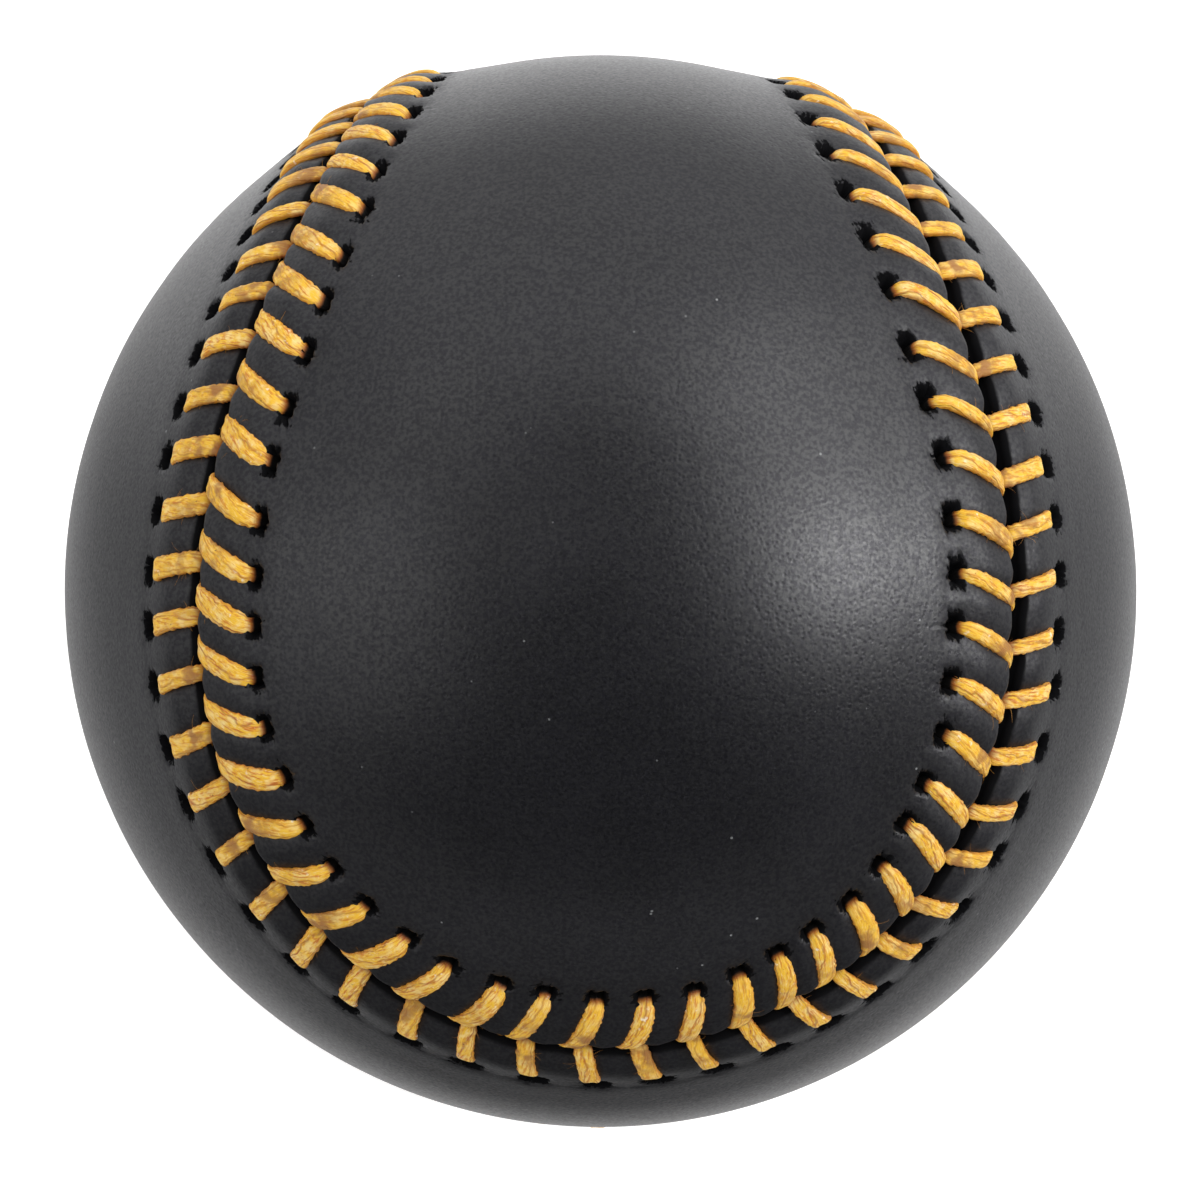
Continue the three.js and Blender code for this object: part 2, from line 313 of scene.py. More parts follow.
@dataclass(frozen=True)
class LegShape:
    """A leg of the lacing as it lies on one panel, from its needle hole to the gap.

    The stations are the same for every list: up the hole, over the panel, down the gap and under the other
    panel. Reach is a share of the hole's offset, and negative past the middle of the seam. Girth and depth
    are shares of the width and the thickness. Lead and tail are how far ahead of its hole a leg meets the
    gap and how much farther its tail goes: at a lobe's tip first, then half way between two tips. Share and
    hook are how much of the lead and of the tail each station has. Drift is how far the sewer's hand strays
    from even spacing: an even part, then the sizes of four waves. Flare is how much wider a leg lies where
    the hand pulls.
    """

    lead: tuple[float, float]
    tail: tuple[float, float]
    drift: tuple[float, float, float, float, float]
    flare: float
    width: float
    thickness: float
    squareness: float
    reach: tuple[float, ...]
    share: tuple[float, ...]
    hook: tuple[float, ...]
    height: tuple[float, ...]
    girth: tuple[float, ...]
    depth: tuple[float, ...]

    @staticmethod
    def between(ends: tuple[float, float], share: Array) -> Array:
        """Goes from one value at a lobe's tip to another between two tips, as the absolute sine of the way.

        Args:
            ends: The two values.
            share: Shares of the seam's length, from a tip of panel A on.

        Returns:
            Values in the shape of share.
        """
        return ends[0] + (ends[1] - ends[0]) * np.abs(np.sin(2 * math.pi * share))

    def stray(self, share: Array) -> Array:
        """Gives how far ahead of its even place a stitch lies.

        It is the even part, plus a cosine and a sine that come twice in the seam and two cosines that come
        four and eight times.

        Args:
            share: Shares of the seam's length, from a tip of panel A on.

        Returns:
            Distances in millimetres, in the shape of share.
        """
        even, twice, aside, four, eight = self.drift
        turn = 4 * math.pi * share
        slow = even + twice * np.cos(turn) + aside * np.sin(turn)
        return slow + four * np.cos(2 * turn) + eight * np.cos(4 * turn)


PLUMP_LEG = LegShape(
    lead=(1.25, 2.05),
    tail=(0.9, 0.75),
    drift=(-0.25, 0.59, 0.08, -0.94, -0.27),
    flare=0.12,
    width=1.34,
    thickness=0.8,
    squareness=2.2,
    reach=(1.0, 0.955, 0.89, 0.74, 0.55, 0.35, 0.19, 0.1, 0.045, -0.12, -0.5, -0.88),
    share=(0.0, 0.0, 0.04, 0.19, 0.42, 0.67, 0.87, 0.99, 1.06, 1.1, 1.1, 1.1),
    hook=(0.0, 0.0, 0.0, 0.0, 0.0, 0.0, 0.08, 0.4, 0.95, 1.15, 1.15, 1.15),
    height=(-1.15, -0.36, 0.3, 0.62, 0.72, 0.7, 0.58, 0.42, 0.06, -1.2, -1.36, -1.3),
    girth=(0.62, 0.84, 0.96, 1.0, 1.04, 1.03, 0.96, 0.74, 0.42, 0.48, 0.6, 0.6),
    depth=(0.9, 1.0, 1.0, 1.0, 1.0, 1.0, 0.95, 0.8, 0.6, 0.55, 0.58, 0.62),
)
FLAT_LEG = LegShape(
    lead=(0.75, 0.95),
    tail=(0.3, 0.3),
    drift=(0.09, -0.05, -0.26, -0.62, -0.16),
    flare=0.1,
    width=1.26,
    thickness=0.64,
    squareness=2.9,
    reach=(0.95, 0.9, 0.84, 0.69, 0.48, 0.27, 0.11, 0.02, -0.04, -0.2, -0.5, -0.88),
    share=(0.0, 0.03, 0.09, 0.25, 0.48, 0.72, 0.9, 1.02, 1.06, 1.1, 1.1, 1.1),
    hook=(0.0, 0.0, 0.0, 0.0, 0.0, 0.0, 0.0, 0.0, 0.8, 1.0, 1.0, 1.0),
    height=(-1.05, -0.25, 0.36, 0.63, 0.64, 0.48, 0.24, -0.1, -0.6, -1.25, -1.36, -1.3),
    girth=(0.84, 1.0, 1.05, 1.0, 0.97, 0.98, 0.96, 0.86, 0.6, 0.6, 0.65, 0.65),
    depth=(0.9, 1.0, 1.0, 1.0, 1.0, 1.0, 0.95, 0.85, 0.75, 0.75, 0.75, 0.78),
)


@dataclass(frozen=True)
class NeedleSlit:
    """The torn hole at a leg's end: a pit in the leather, longer along the seam than across it.

    Behind is how far its middle trails the needle's place: at a lobe's tip first, then between two tips.
    Tear is how much narrower it stays where the hand pulls.
    """

    behind: tuple[float, float]
    beyond: float
    half_length: float
    half_width: float
    depth: float
    tear: float


@dataclass(frozen=True)
class Lacing:
    """Where the needle holes lie and how the legs of the lacing run from them."""

    seam: Seam
    count: int = 108
    phase: float = 0.277
    hole_offset: float = 4.7
    slip: float = 0.11
    sway: float = 0.12
    seed: int = 21
    legs: dict[Side, LegShape] = field(
        default_factory=lambda: {Side.A: PLUMP_LEG, Side.B: FLAT_LEG}
    )

    @property
    def pitch(self) -> float:
        """Distance from one hole to the next along the seam."""
        return self.seam.length / self.count

    @cached_property
    def hand(self) -> dict[Side, Array]:
        """How far the sewer's hand put each hole from its even place.

        Returns:
            For each panel the distances along the seam, and those across it.
        """
        rng = np.random.default_rng(self.seed)
        spread = np.array([[self.slip], [self.sway]])
        return {side: rng.normal(size=(2, self.count)).clip(-2, 2) * spread for side in Side}

    def hole(self, side: Side, stitch: Array) -> tuple[Array, Array]:
        """Gives the places of needle holes.

        Args:
            side: The panel.
            stitch: Numbers of the stitches, which may run past the last one or before the first.

        Returns:
            Distances along the seam, and distances from its middle.
        """
        slip, sway = self.hand[side][:, np.mod(stitch, self.count)]
        along = (stitch + self.phase) * self.pitch
        return along + self.stray(side, along) + slip, self.hole_offset + sway

    def stray(self, side: Side, along: Array) -> Array:
        """Gives how far ahead of their even places a panel's stitches lie at distances along the seam."""
        return self.legs[side].stray(along / self.seam.length)

    def pull(self, along: Array) -> Array:
        """Gives how hard the sewer's hand pulls, from -1 to 1, as a sine that comes twice in the seam."""
        return np.sin(4 * math.pi * along / self.seam.length)

    def nearest(self, side: Side, along: Array) -> tuple[Array, Array]:
        """Finds the nearest hole of a panel.

        Args:
            side: The panel.
            along: Distances along the seam.

        Returns:
            How far along the seam each place lies past that hole, and that hole's distance from the middle.
        """
        stitch = np.rint((along - self.stray(side, along)) / self.pitch - self.phase).astype(int)
        hole_along, hole_offset = self.hole(side, stitch)
        return along - hole_along, hole_offset

    def beside_leg(self, side: Side, along: Array, offset: Array) -> Array:
        """Tells where between two legs a place on the leather lies.

        A leg's line leads its hole by the lead times the share of the way from the hole to the gap.

        Args:
            side: The panel.
            along: Distances along the seam.
            offset: Distances from the middle of the seam.

        Returns:
            0 on the line of a leg, rising to 1 half way to the next one.
        """
        leg = self.legs[side]
        way = 1 - np.clip(offset / self.hole_offset, 0, 1)
        lead = leg.between(leg.lead, along / self.seam.length) * way
        past, _ = self.nearest(side, along - lead)
        return np.clip(np.abs(past) / (self.pitch / 2), 0, 1)


@dataclass(frozen=True)
class CoverPanel:
    """One figure-eight leather panel, pulled up by the lacing along its rim.

    Crown is how high the leather rises over the hidden thread, and swell how much higher between two legs.
    The edge values shape the cut edge at the gap. Ragged is how far two wavering lines move a slit's rim.
    Pit wall, pit shade and pucker reach are where a slit's wall, its shade and its pucker begin and end, in
    sizes of the slit. Swell fade and dull reach are shares of the holes' offset. Flesh shares, roll degrees
    and the numbers of rows lay out the rim.
    """

    name: str
    side: Side
    seam: Seam
    lacing: Lacing
    slit: NeedleSlit
    crown: float
    swell: float
    edge_gap: float
    edge_slack: float
    edge_roll: float
    edge_fall: float
    pucker: float
    edge_foot: float = -0.05
    edge_dip: float = 0.2
    edge_drop: float = 1.25
    fall_reach: float = 2.7
    thickness: float = 1.3
    shoulder: float = 9.4
    crown_start: float = 0.3
    ragged: tuple[float, float] = (0.16, 0.14)
    pit_wall: tuple[float, float] = (0.58, 1.04)
    pit_shade: tuple[float, float] = (0.55, 1.55)
    pucker_reach: tuple[float, float] = (0.8, 2.3)
    pillow_power: float = 2.4
    swell_fade: tuple[float, float] = (0.5, 1.3)
    swell_waver: float = 0.18
    dull_reach: float = 1.5
    columns_per_stitch: int = 15
    crowding: float = 0.45
    flesh_shares: tuple[float, ...] = (1.0, 0.72, 0.45, 0.12)
    roll_degrees: tuple[float, ...] = (84.0, 66.0, 48.0, 31.0, 15.0)
    near_rows: int = 9
    slit_rows: int = 20
    slit_span: float = 1.6
    far_rows: int = 7
    grain_cells: int = 14
    flesh_cells: int = 4

    def columns(self) -> Array:
        """Gives the distances along the seam at which the rim has a column of points.

        The columns crowd towards the needle slits: within a pitch the place is t - c sin(2 pi t) / 2 pi.

        Returns:
            Distances along the seam, a stitch at a time.
        """
        count = self.columns_per_stitch
        share = (np.arange(count) + 0.5) / count - 0.5
        within = share - self.crowding * np.sin(2 * math.pi * share) / (2 * math.pi)
        stitch = np.arange(self.lacing.count) + self.lacing.phase
        places = (stitch[:, None] + within) * self.lacing.pitch
        return (places + self.lacing.stray(self.side, places) - self.trail(places)).ravel()

    def trail(self, along: Array) -> Array:
        """Gives how far the slits trail their needle places at distances along the seam."""
        return LegShape.between(self.slit.behind, along / self.seam.length)

    def torn(self, along: Array) -> Array:
        """Gives how many times their plain width the slits are torn to at distances along the seam."""
        return 1 - self.slit.tear * self.lacing.pull(along)

    def raise_at(self, offset: Array) -> Array:
        """Gives how far the thread under the leather lifts it.

        It is the crown's height, which falls off to the shoulder, less a gentle fall towards the gap.

        Args:
            offset: Distances from the middle of the seam.

        Returns:
            Heights in millimetres.
        """
        lift = self.crown * (1 - smooth_step(offset, self.crown_start * self.shoulder, self.shoulder))
        return lift - self.edge_fall * (1 - smooth_step(offset, self.edge_gap, self.fall_reach))

    def from_slit(self, along: Array, offset: Array) -> Array:
        """Gives how far from the nearest needle slit a place lies.

        The distance is the cube root of a sum of cubes, so that the slit is a rounded block, made ragged by
        two wavering lines.

        Args:
            along: Distances along the seam.
            offset: Distances from the middle of the seam.

        Returns:
            0 in the middle of a slit and 1 on its rim.
        """
        past, hole_offset = self.lacing.nearest(self.side, along)
        torn = self.torn(along)
        ahead = (past + self.trail(along)) / self.slit.half_length
        beyond = (offset - hole_offset - self.slit.beyond * torn) / (self.slit.half_width * torn)
        lengthwise, crosswise = self.ragged
        ragged = 1 + lengthwise * ripple(along, 1.1, 3) + crosswise * ripple(offset + 0.4 * along, 0.8, 4)
        return np.cbrt(np.abs(ahead) ** 3 + np.abs(beyond) ** 3) * ragged

    def pit_at(self, along: Array, offset: Array) -> Array:
        """Gives how deep in a needle slit places lie: 1 in a slit and 0 on whole leather."""
        return 1 - smooth_step(self.from_slit(along, offset), *self.pit_wall)

    def grain_height(self, along: Array, offset: Array) -> Array:
        """Gives the height of the grain side above the smooth ball.

        It is the raise, plus a pillow that swells between two legs as 1 - (1 - q)^p of the share q of the
        way from a leg, less the needle slits, with a soft pucker round each of them.

        Args:
            along: Distances along the seam.
            offset: Distances from the middle of the seam.

        Returns:
            Heights in millimetres.
        """
        between = self.lacing.beside_leg(self.side, along, offset)
        pillow = 1 - (1 - between) ** self.pillow_power
        start, end = (share * self.lacing.hole_offset for share in self.swell_fade)
        swell = self.swell * (1 - smooth_step(offset, start, end))
        swell = swell * (1 + self.swell_waver * ripple(along, 14.0, 5))
        drawn = self.pucker * (1 - smooth_step(self.from_slit(along, offset), *self.pucker_reach))
        return self.raise_at(offset) + swell * pillow - drawn - self.slit.depth * self.pit_at(along, offset)

    def rim(self, along: Array) -> tuple[Array, Array, dict[str, Array]]:
        """Lays out the rim's rows, from the flesh side round the cut edge to the grain side.

        Args:
            along: The columns' distances along the seam.

        Returns:
            Distances from the middle of the seam and heights, row by row, and how deep in a slit, how far
            into the gap and how near the seam each point lies.
        """
        dive = 1 - self.lacing.beside_leg(self.side, along, np.zeros_like(along))
        edge = self.edge_gap * (1 - self.edge_slack * self.lacing.pull(along)) + self.edge_dip * dive
        start = edge + self.edge_roll
        flesh = np.array(self.flesh_shares)[:, None]
        flesh_offset = self.edge_foot + (self.shoulder - self.edge_foot) * flesh + 0 * along
        flesh_height = self.raise_at(flesh_offset) - self.thickness
        torn = self.torn(along)
        hole = self.lacing.hole_offset
        span = np.linspace(-self.slit_span, self.slit_span, self.slit_rows)[:, None]
        slit = hole + self.slit.beyond * torn + span * self.slit.half_width * torn
        near = start + (slit[0] - start) * np.linspace(0.0, 1.0, self.near_rows + 1)[:-1, None]
        far = slit[-1] + (self.shoulder - slit[-1]) * np.linspace(0.0, 1.0, self.far_rows + 1)[1:, None]
        grain_offset = np.concatenate([near, slit, far])
        columns = np.broadcast_to(along, grain_offset.shape)
        grain_height = self.grain_height(columns, grain_offset)
        turn = np.radians(self.roll_degrees)[:, None]
        roll_offset = edge + self.edge_roll * (1 - np.sin(turn))
        roll_height = grain_height[0] - self.edge_roll * (1 - np.cos(turn))
        wall_foot = self.raise_at(edge) - self.thickness
        wall_offset = np.stack([0 * edge + self.edge_foot, edge])
        wall_height = np.stack([wall_foot, grain_height[0] - self.edge_drop * self.edge_roll])
        offset = np.concatenate([flesh_offset, wall_offset, roll_offset, grain_offset])
        height = np.concatenate([flesh_height, wall_height, roll_height, grain_height])
        grain_row = len(offset) - len(grain_offset)
        roll_row = grain_row - len(roll_offset)
        # hollow and shaded mark where the leather finish paints shade: in the needle slits and from the cut
        # edge down into the gap.
        hollow = np.zeros_like(offset)
        hollow[grain_row:] = 1 - smooth_step(self.from_slit(columns, grain_offset), *self.pit_shade)
        shaded = np.zeros_like(offset)
        shaded[:roll_row] = 1.0
        shaded[roll_row:grain_row] = np.sin(turn) ** 2
        seam_side = 1 - smooth_step(offset, hole, self.dull_reach * hole)
        return offset, height, {"hollow": hollow, "shaded": shaded, "seam_side": seam_side}

    def middle(
        self, ring: Array, numbers: Array, cells: int, first: int
    ) -> tuple[Array, Array, int, int]:
        """Fills the smooth middle of the panel by rungs across it.

        A rung joins a column to the one as far from the lobe's tip on the other side, turning evenly from
        one direction to the other.

        Args:
            ring: Points of the rim's inner ring, from one lobe's tip on.
            numbers: Their numbers in the mesh.
            cells: How many cells a rung has.
            first: The number that the first new point gets.

        Returns:
            New points, the point numbers of the rungs, and the numbers of the two tips.
        """
        half = len(ring) // 2
        left, right = ring[1:half], ring[:half:-1]
        cosine = (unit(left) * unit(right)).sum(axis=-1).clip(-1, 1)
        angle = np.arccos(cosine)[:, None, None]
        share = (np.arange(1, cells) / cells)[None, :, None]
        start, end = np.sin((1 - share) * angle), np.sin(share * angle)
        inner = (start * left[:, None] + end * right[:, None]) / np.sin(angle)
        fresh = first + np.arange(inner.shape[0] * inner.shape[1]).reshape(inner.shape[:2])
        rungs = np.concatenate([numbers[1:half, None], fresh, numbers[:half:-1, None]], axis=1)
        return inner.reshape(-1, 3), rungs, int(numbers[0]), int(numbers[half])

    def build(self) -> bpy.types.Object:
        """Makes the panel as one closed skin of leather.

        Returns:
            The panel's object.
        """
        along = self.columns()
        tip = 0.0 if self.side is Side.A else self.seam.length / 4
        along = np.roll(along, -int(np.argmin(np.abs(along - tip))))
        offset, height, shades = self.rim(along)
        points = self.seam.place(along[None, :], self.side.value * offset, height)
        numbers = np.arange(points[..., 0].size).reshape(offset.shape)
        skins = [points.reshape(-1, 3)]
        flip = self.side is Side.A
        faces = [quads(ring_closed(numbers), flip)]
        first = numbers.size
        for row, cells, turned in ((-1, self.grain_cells, not flip), (0, self.flesh_cells, flip)):
            inner, rungs, front, back = self.middle(points[row], numbers[row], cells, first)
            first += len(inner)
            skins.append(inner)
            faces += [quads(rungs, turned), fan(front, rungs[0], not turned), fan(back, rungs[-1], turned)]
        whole = np.concatenate(skins)
        plain = np.zeros(len(whole) - numbers.size)
        values = {key: np.concatenate([shade.ravel(), plain]) for key, shade in shades.items()}
        return Skin(whole, faces, values=values).to_object(self.name)


@dataclass(frozen=True)
class LaceThread:
    """One waxed thread of the lacing: an unbroken flattened tube through every hole of its round.

    The spreads are chance differences from leg to leg. The groove runs along a leg's upper side, and fray is
    how ragged its flanks are. Fibres are loose hairs: their run is where along a leg they may grow, and their
    lean, bend, lift and dip are how they leave the thread.
    """

    name: str
    first_side: Side
    seam: Seam
    lacing: Lacing
    sides: int = 18
    samples: tuple[int, ...] = (3, 4, 5, 5, 5, 5, 5, 4, 3, 2, 2, 2)
    width_spread: float = 0.07
    width_limit: float = 0.16
    rise_spread: float = 0.04
    bow_spread: float = 0.05
    tail_spread: tuple[float, float] = (0.45, 1.4)
    groove_depth: float = 0.3
    groove_width: float = 0.28
    groove_drift: float = 0.25
    fray: float = 0.08
    fine_fray: float = 0.035
    fibres_per_leg: int = 3
    fibre_run: tuple[float, float] = (0.3, 0.66)
    fibre_root: float = 0.85
    fibre_rings: int = 6
    fibre_radius: float = 0.011
    fibre_thinning: float = 0.67
    fibre_length: tuple[float, float] = (0.3, 1.1)
    fibre_lean: float = 0.7
    fibre_bend: float = 1.1
    fibre_lift: tuple[float, float] = (0.1, 0.7)
    fibre_dip: tuple[float, float] = (0.3, 1.1)
    seed: int = 40

    def stations(self) -> tuple[Array, Array, Array]:
        """Lays out the thread's stations, leg by leg.

        Returns:
            Places by the seam (along, across, height), half widths and half thicknesses with the squareness,
            and per leg its chance tone, its groove and the sign of its side.
        """
        rng = np.random.default_rng(self.seed)
        stitch = np.arange(self.lacing.count)
        places, girths, chances = [], [], []
        for parity, side in ((0, self.first_side), (1, self.first_side.other)):
            leg = self.lacing.legs[side]
            mine = stitch[stitch % 2 == parity]
            along, offset = self.lacing.hole(side, mine)
            share = along[:, None] / self.seam.length
            ahead = leg.between(leg.lead, share) * np.array(leg.share)
            tail = leg.between(leg.tail, share) * rng.uniform(*self.tail_spread, (len(mine), 1))
            ahead = ahead + tail * np.array(leg.hook)
            across = side.value * offset[:, None] * np.array(leg.reach)
            rise = np.array(leg.height) + rng.normal(0, self.rise_spread, (len(mine), 1))
            bow = rng.normal(0, self.bow_spread, (len(mine), 1)) * np.sin(np.pi * np.clip(leg.share, 0, 1))
            places.append(np.stack([along[:, None] + ahead + bow, across, rise], axis=-1))
            chance = rng.normal(0, self.width_spread, (len(mine), 1))
            spread = 1 + chance.clip(-self.width_limit, self.width_limit)
            spread = spread + leg.flare * self.lacing.pull(along[:, None])
            half_width = leg.width / 2 * np.array(leg.girth) * spread
            half_depth = leg.thickness / 2 * np.array(leg.depth) * np.ones_like(spread)
            square = np.full_like(half_width, leg.squareness)
            girths.append(np.stack([half_width, half_depth, square], axis=-1))
            tone = rng.uniform(-1, 1, len(mine))
            groove = rng.uniform(0.0, self.groove_depth, len(mine))
            chances.append(np.stack([tone, groove, np.full(len(mine), float(side.value))], axis=-1))
        woven = [np.stack(pair, axis=1).reshape((self.lacing.count, *pair[0].shape[1:]))
                 for pair in (places, girths, chances)]
        return woven[0], woven[1], woven[2]

    @staticmethod
    def spline(keys: Array, at: Array) -> Array:
        """Runs a Catmull-Rom curve through keys.

        Args:
            keys: The keys, in order.
            at: Where to take the curve, in keys from the first.

        Returns:
            The curve's values.
        """
        last = len(keys) - 1
        left = np.clip(np.floor(at).astype(int), 0, last - 1)
        share = (at - left)[:, None]
        before, start = keys[np.clip(left - 1, 0, last)], keys[left]
        end, after = keys[left + 1], keys[np.clip(left + 2, 0, last)]
        slope = end - before
        bend = 2 * before - 5 * start + 4 * end - after
        twist = 3 * start - before - 3 * end + after
        return start + 0.5 * share * (slope + share * (bend + share * twist))

    def fuzz(self, root: Array, aside: Array, travel: Array, out: Array) -> tuple[Array, list[Array]]:
        """Grows loose fibres from the thread.

        A fibre leaves its root sideways and a little up. Its direction turns evenly by a chance bend on the
        way and dips towards the leather, and it thins to a third.

        Args:
            root: Where the fibres start.
            aside: Unit vectors out of the thread's flank at the roots.
            travel: Unit vectors along the thread there.
            out: Unit vectors out of the ball there.

        Returns:
            Points, ring by ring, and the faces of the sides and of both ends, which number them from 0.
        """
        rng = np.random.default_rng(self.seed + 9)
        count, rings = len(root), self.fibre_rings
        lean = rng.normal(0, self.fibre_lean, (count, 1))
        bend = rng.normal(0, self.fibre_bend, (count, 1))
        length = rng.uniform(*self.fibre_length, count)[:, None, None]
        share = np.linspace(0, 1, rings)[None, :, None]
        start = unit(aside + lean * travel + rng.uniform(*self.fibre_lift, (count, 1)) * out)
        curl = bend * travel - rng.uniform(*self.fibre_dip, (count, 1)) * out
        heading = unit(start[:, None] + share * curl[:, None])
        steps = np.concatenate([np.zeros((count, 1, 3)), heading[:, :-1]], axis=1)
        line = root[:, None] + np.cumsum(steps, axis=1) * length / (rings - 1)
        over = unit(np.cross(heading, travel[:, None] + 0.3 * out[:, None]))
        beside = np.cross(heading, over)
        turn = np.arange(3) / 3 * 2 * math.pi
        radius = (self.fibre_radius * (1 - self.fibre_thinning * share))[..., None]
        ring = np.cos(turn)[:, None] * over[:, :, None] + np.sin(turn)[:, None] * beside[:, :, None]
        points = line[:, :, None] + radius * ring
        numbers = np.arange(count * rings * 3).reshape(count, rings, 3)
        closed = np.concatenate([numbers, numbers[:, :, :1]], axis=2)
        corners = [closed[:, :-1, :-1], closed[:, :-1, 1:], closed[:, 1:, 1:], closed[:, 1:, :-1]]
        walls = np.stack(corners, axis=-1).reshape(-1, 4)
        return points.reshape(-1, 3), [walls, numbers[:, 0, ::-1], numbers[:, -1]]

    def build(self) -> bpy.types.Object:
        """Carries the thread's section along its stations.

        The section is a flattened ring |x/a|^n + |y/b|^n = 1 whose wide axis lies along the seam, square to
        the thread's own direction. A shallow groove runs along the middle of its upper side.

        Returns:
            The thread's object.
        """
        places, girths, chances = self.stations()
        legs, keys = places.shape[:2]
        within = np.concatenate([k + np.arange(n) / n for k, n in enumerate(self.samples)])
        at = (np.arange(legs)[:, None] * keys + within).ravel()
        at = at[at <= legs * keys - 1]
        path = self.spline(places.reshape(-1, 3), at)
        girth = self.spline(girths.reshape(-1, 3), at)
        leg = np.minimum((at / keys).astype(int), legs - 1)
        tone, groove, sign = chances[leg].T
        centre = self.seam.place(path[:, 0], path[:, 1], path[:, 2])
        travel = unit(np.gradient(centre, axis=0))
        _, ahead, _ = self.seam.frames(path[:, 0])
        wide = unit(ahead - (ahead * travel).sum(axis=-1, keepdims=True) * travel)
        thick = np.cross(wide, travel)
        length = np.concatenate([[0.0], np.cumsum(np.linalg.norm(np.diff(centre, axis=0), axis=-1))])
        angle = np.arange(self.sides) / self.sides * 2 * math.pi
        power = 2 / girth[:, 2:3]
        cosine, sine = np.cos(angle)[None, :], np.sin(angle)[None, :]
        flat = np.sign(cosine) * np.abs(cosine) ** power
        tall = np.sign(sine) * np.abs(sine) ** power
        frayed = 1 + self.fray * ripple(length, 1.3, self.seed + 1)[:, None] * (1 + cosine) / 2
        frayed = frayed + self.fray * ripple(length, 1.1, self.seed + 2)[:, None] * (1 - cosine) / 2
        frayed = frayed + self.fine_fray * ripple(length, 0.7, self.seed + 4)[:, None] * cosine
        drift = self.groove_drift * ripple(length, 9.0, self.seed + 3)[:, None]
        dent = groove[:, None] * np.exp(-(((cosine - drift) / self.groove_width) ** 2))
        dent = dent * (sine * sign[:, None] > 0)
        reach_wide = girth[:, 0:1] * flat * frayed
        reach_thick = girth[:, 1:2] * tall * (1 - dent)
        points = centre[:, None] + reach_wide[..., None] * wide[:, None]
        points = points + reach_thick[..., None] * thick[:, None]
        numbers = np.arange(points[..., 0].size).reshape(points.shape[:2])
        faces = [quads(ring_closed(numbers))]
        faces += [numbers[0][None, ::-1], numbers[-1][None, :]]
        around = np.arange(self.sides + 1) / self.sides * THREAD_ROUND
        grid = np.stack(np.broadcast_arrays(length[:, None], around[None, :]), axis=-1) / MAP_UNIT
        corner_grid = np.stack([grid[:-1, :-1], grid[:-1, 1:], grid[1:, 1:], grid[1:, :-1]], axis=2)
        caps = np.zeros((2 * self.sides, 2))
        run = (at - leg * keys) / keys
        values = {
            "tone": np.repeat(tone, self.sides),
            "run": np.repeat(run, self.sides),
            "sunk": self.seam.ball_radius - np.linalg.norm(points, axis=-1).ravel(),
        }
        rng = np.random.default_rng(self.seed + 8)
        high = np.flatnonzero((run > self.fibre_run[0]) & (run < self.fibre_run[1]))
        chosen = rng.choice(high, self.fibres_per_leg * legs)
        flank = rng.choice([-1.0, 1.0], len(chosen))[:, None]
        roots = centre[chosen] + self.fibre_root * flank * girth[chosen, 0:1] * wide[chosen]
        hairs, hair_faces = self.fuzz(roots, flank * wide[chosen], travel[chosen], unit(centre[chosen]))
        faces += [part + numbers.size for part in hair_faces]
        hair_corners = np.zeros((sum(part.size for part in hair_faces), 2))
        corners = np.concatenate([corner_grid.reshape(-1, 2), caps, hair_corners])
        for key, plain in (("tone", 0.0), ("run", 0.5), ("sunk", -1.0)):
            values[key] = np.concatenate([values[key], np.full(len(hairs), plain)])
        whole = np.concatenate([points.reshape(-1, 3), hairs])
        return Skin(whole, faces, corners, values).to_object(self.name)


@dataclass(frozen=True)
class Turning:
    """A profile turned about an axis through the ball's centre."""

    axis: tuple[float, float, float]
    sides: int

    def spread(self, profile: Array) -> Array:
        """Turns a profile into rows of points.

        Args:
            profile: Pairs of radius and height along the axis.

        Returns:
            A ring of points for each pair.
        """
        up = unit(np.array(self.axis))
        sideways = unit(np.cross(up, [0.31, 0.59, 0.74]))
        forward = np.cross(up, sideways)
        angle = np.arange(self.sides) / self.sides * 2 * math.pi
        around = np.cos(angle)[:, None] * sideways + np.sin(angle)[:, None] * forward
        return profile[:, 0, None, None] * around + profile[:, 1, None, None] * up

    def skin(
        self, rows: Array, top: Array | None = None, bottom: Array | None = None
    ) -> tuple[Array, list[Array]]:
        """Joins rings into a skin, with a point closing each end, or end to end where none is given.

        Args:
            rows: Rings of points, which run down the outer side first.
            top: The point on the axis before the first ring.
            bottom: The point on the axis after the last ring.

        Returns:
            Points and faces.
        """
        numbers = np.arange(rows[..., 0].size).reshape(rows.shape[:2])
        grid = ring_closed(numbers)
        if top is None or bottom is None:
            return rows.reshape(-1, 3), [quads(np.concatenate([grid, grid[:1]]), True)]
        points = np.concatenate([rows.reshape(-1, 3), top[None], bottom[None]])
        faces = [quads(grid, True), fan(numbers.size, grid[0]), fan(numbers.size + 1, grid[-1], True)]
        return points, faces


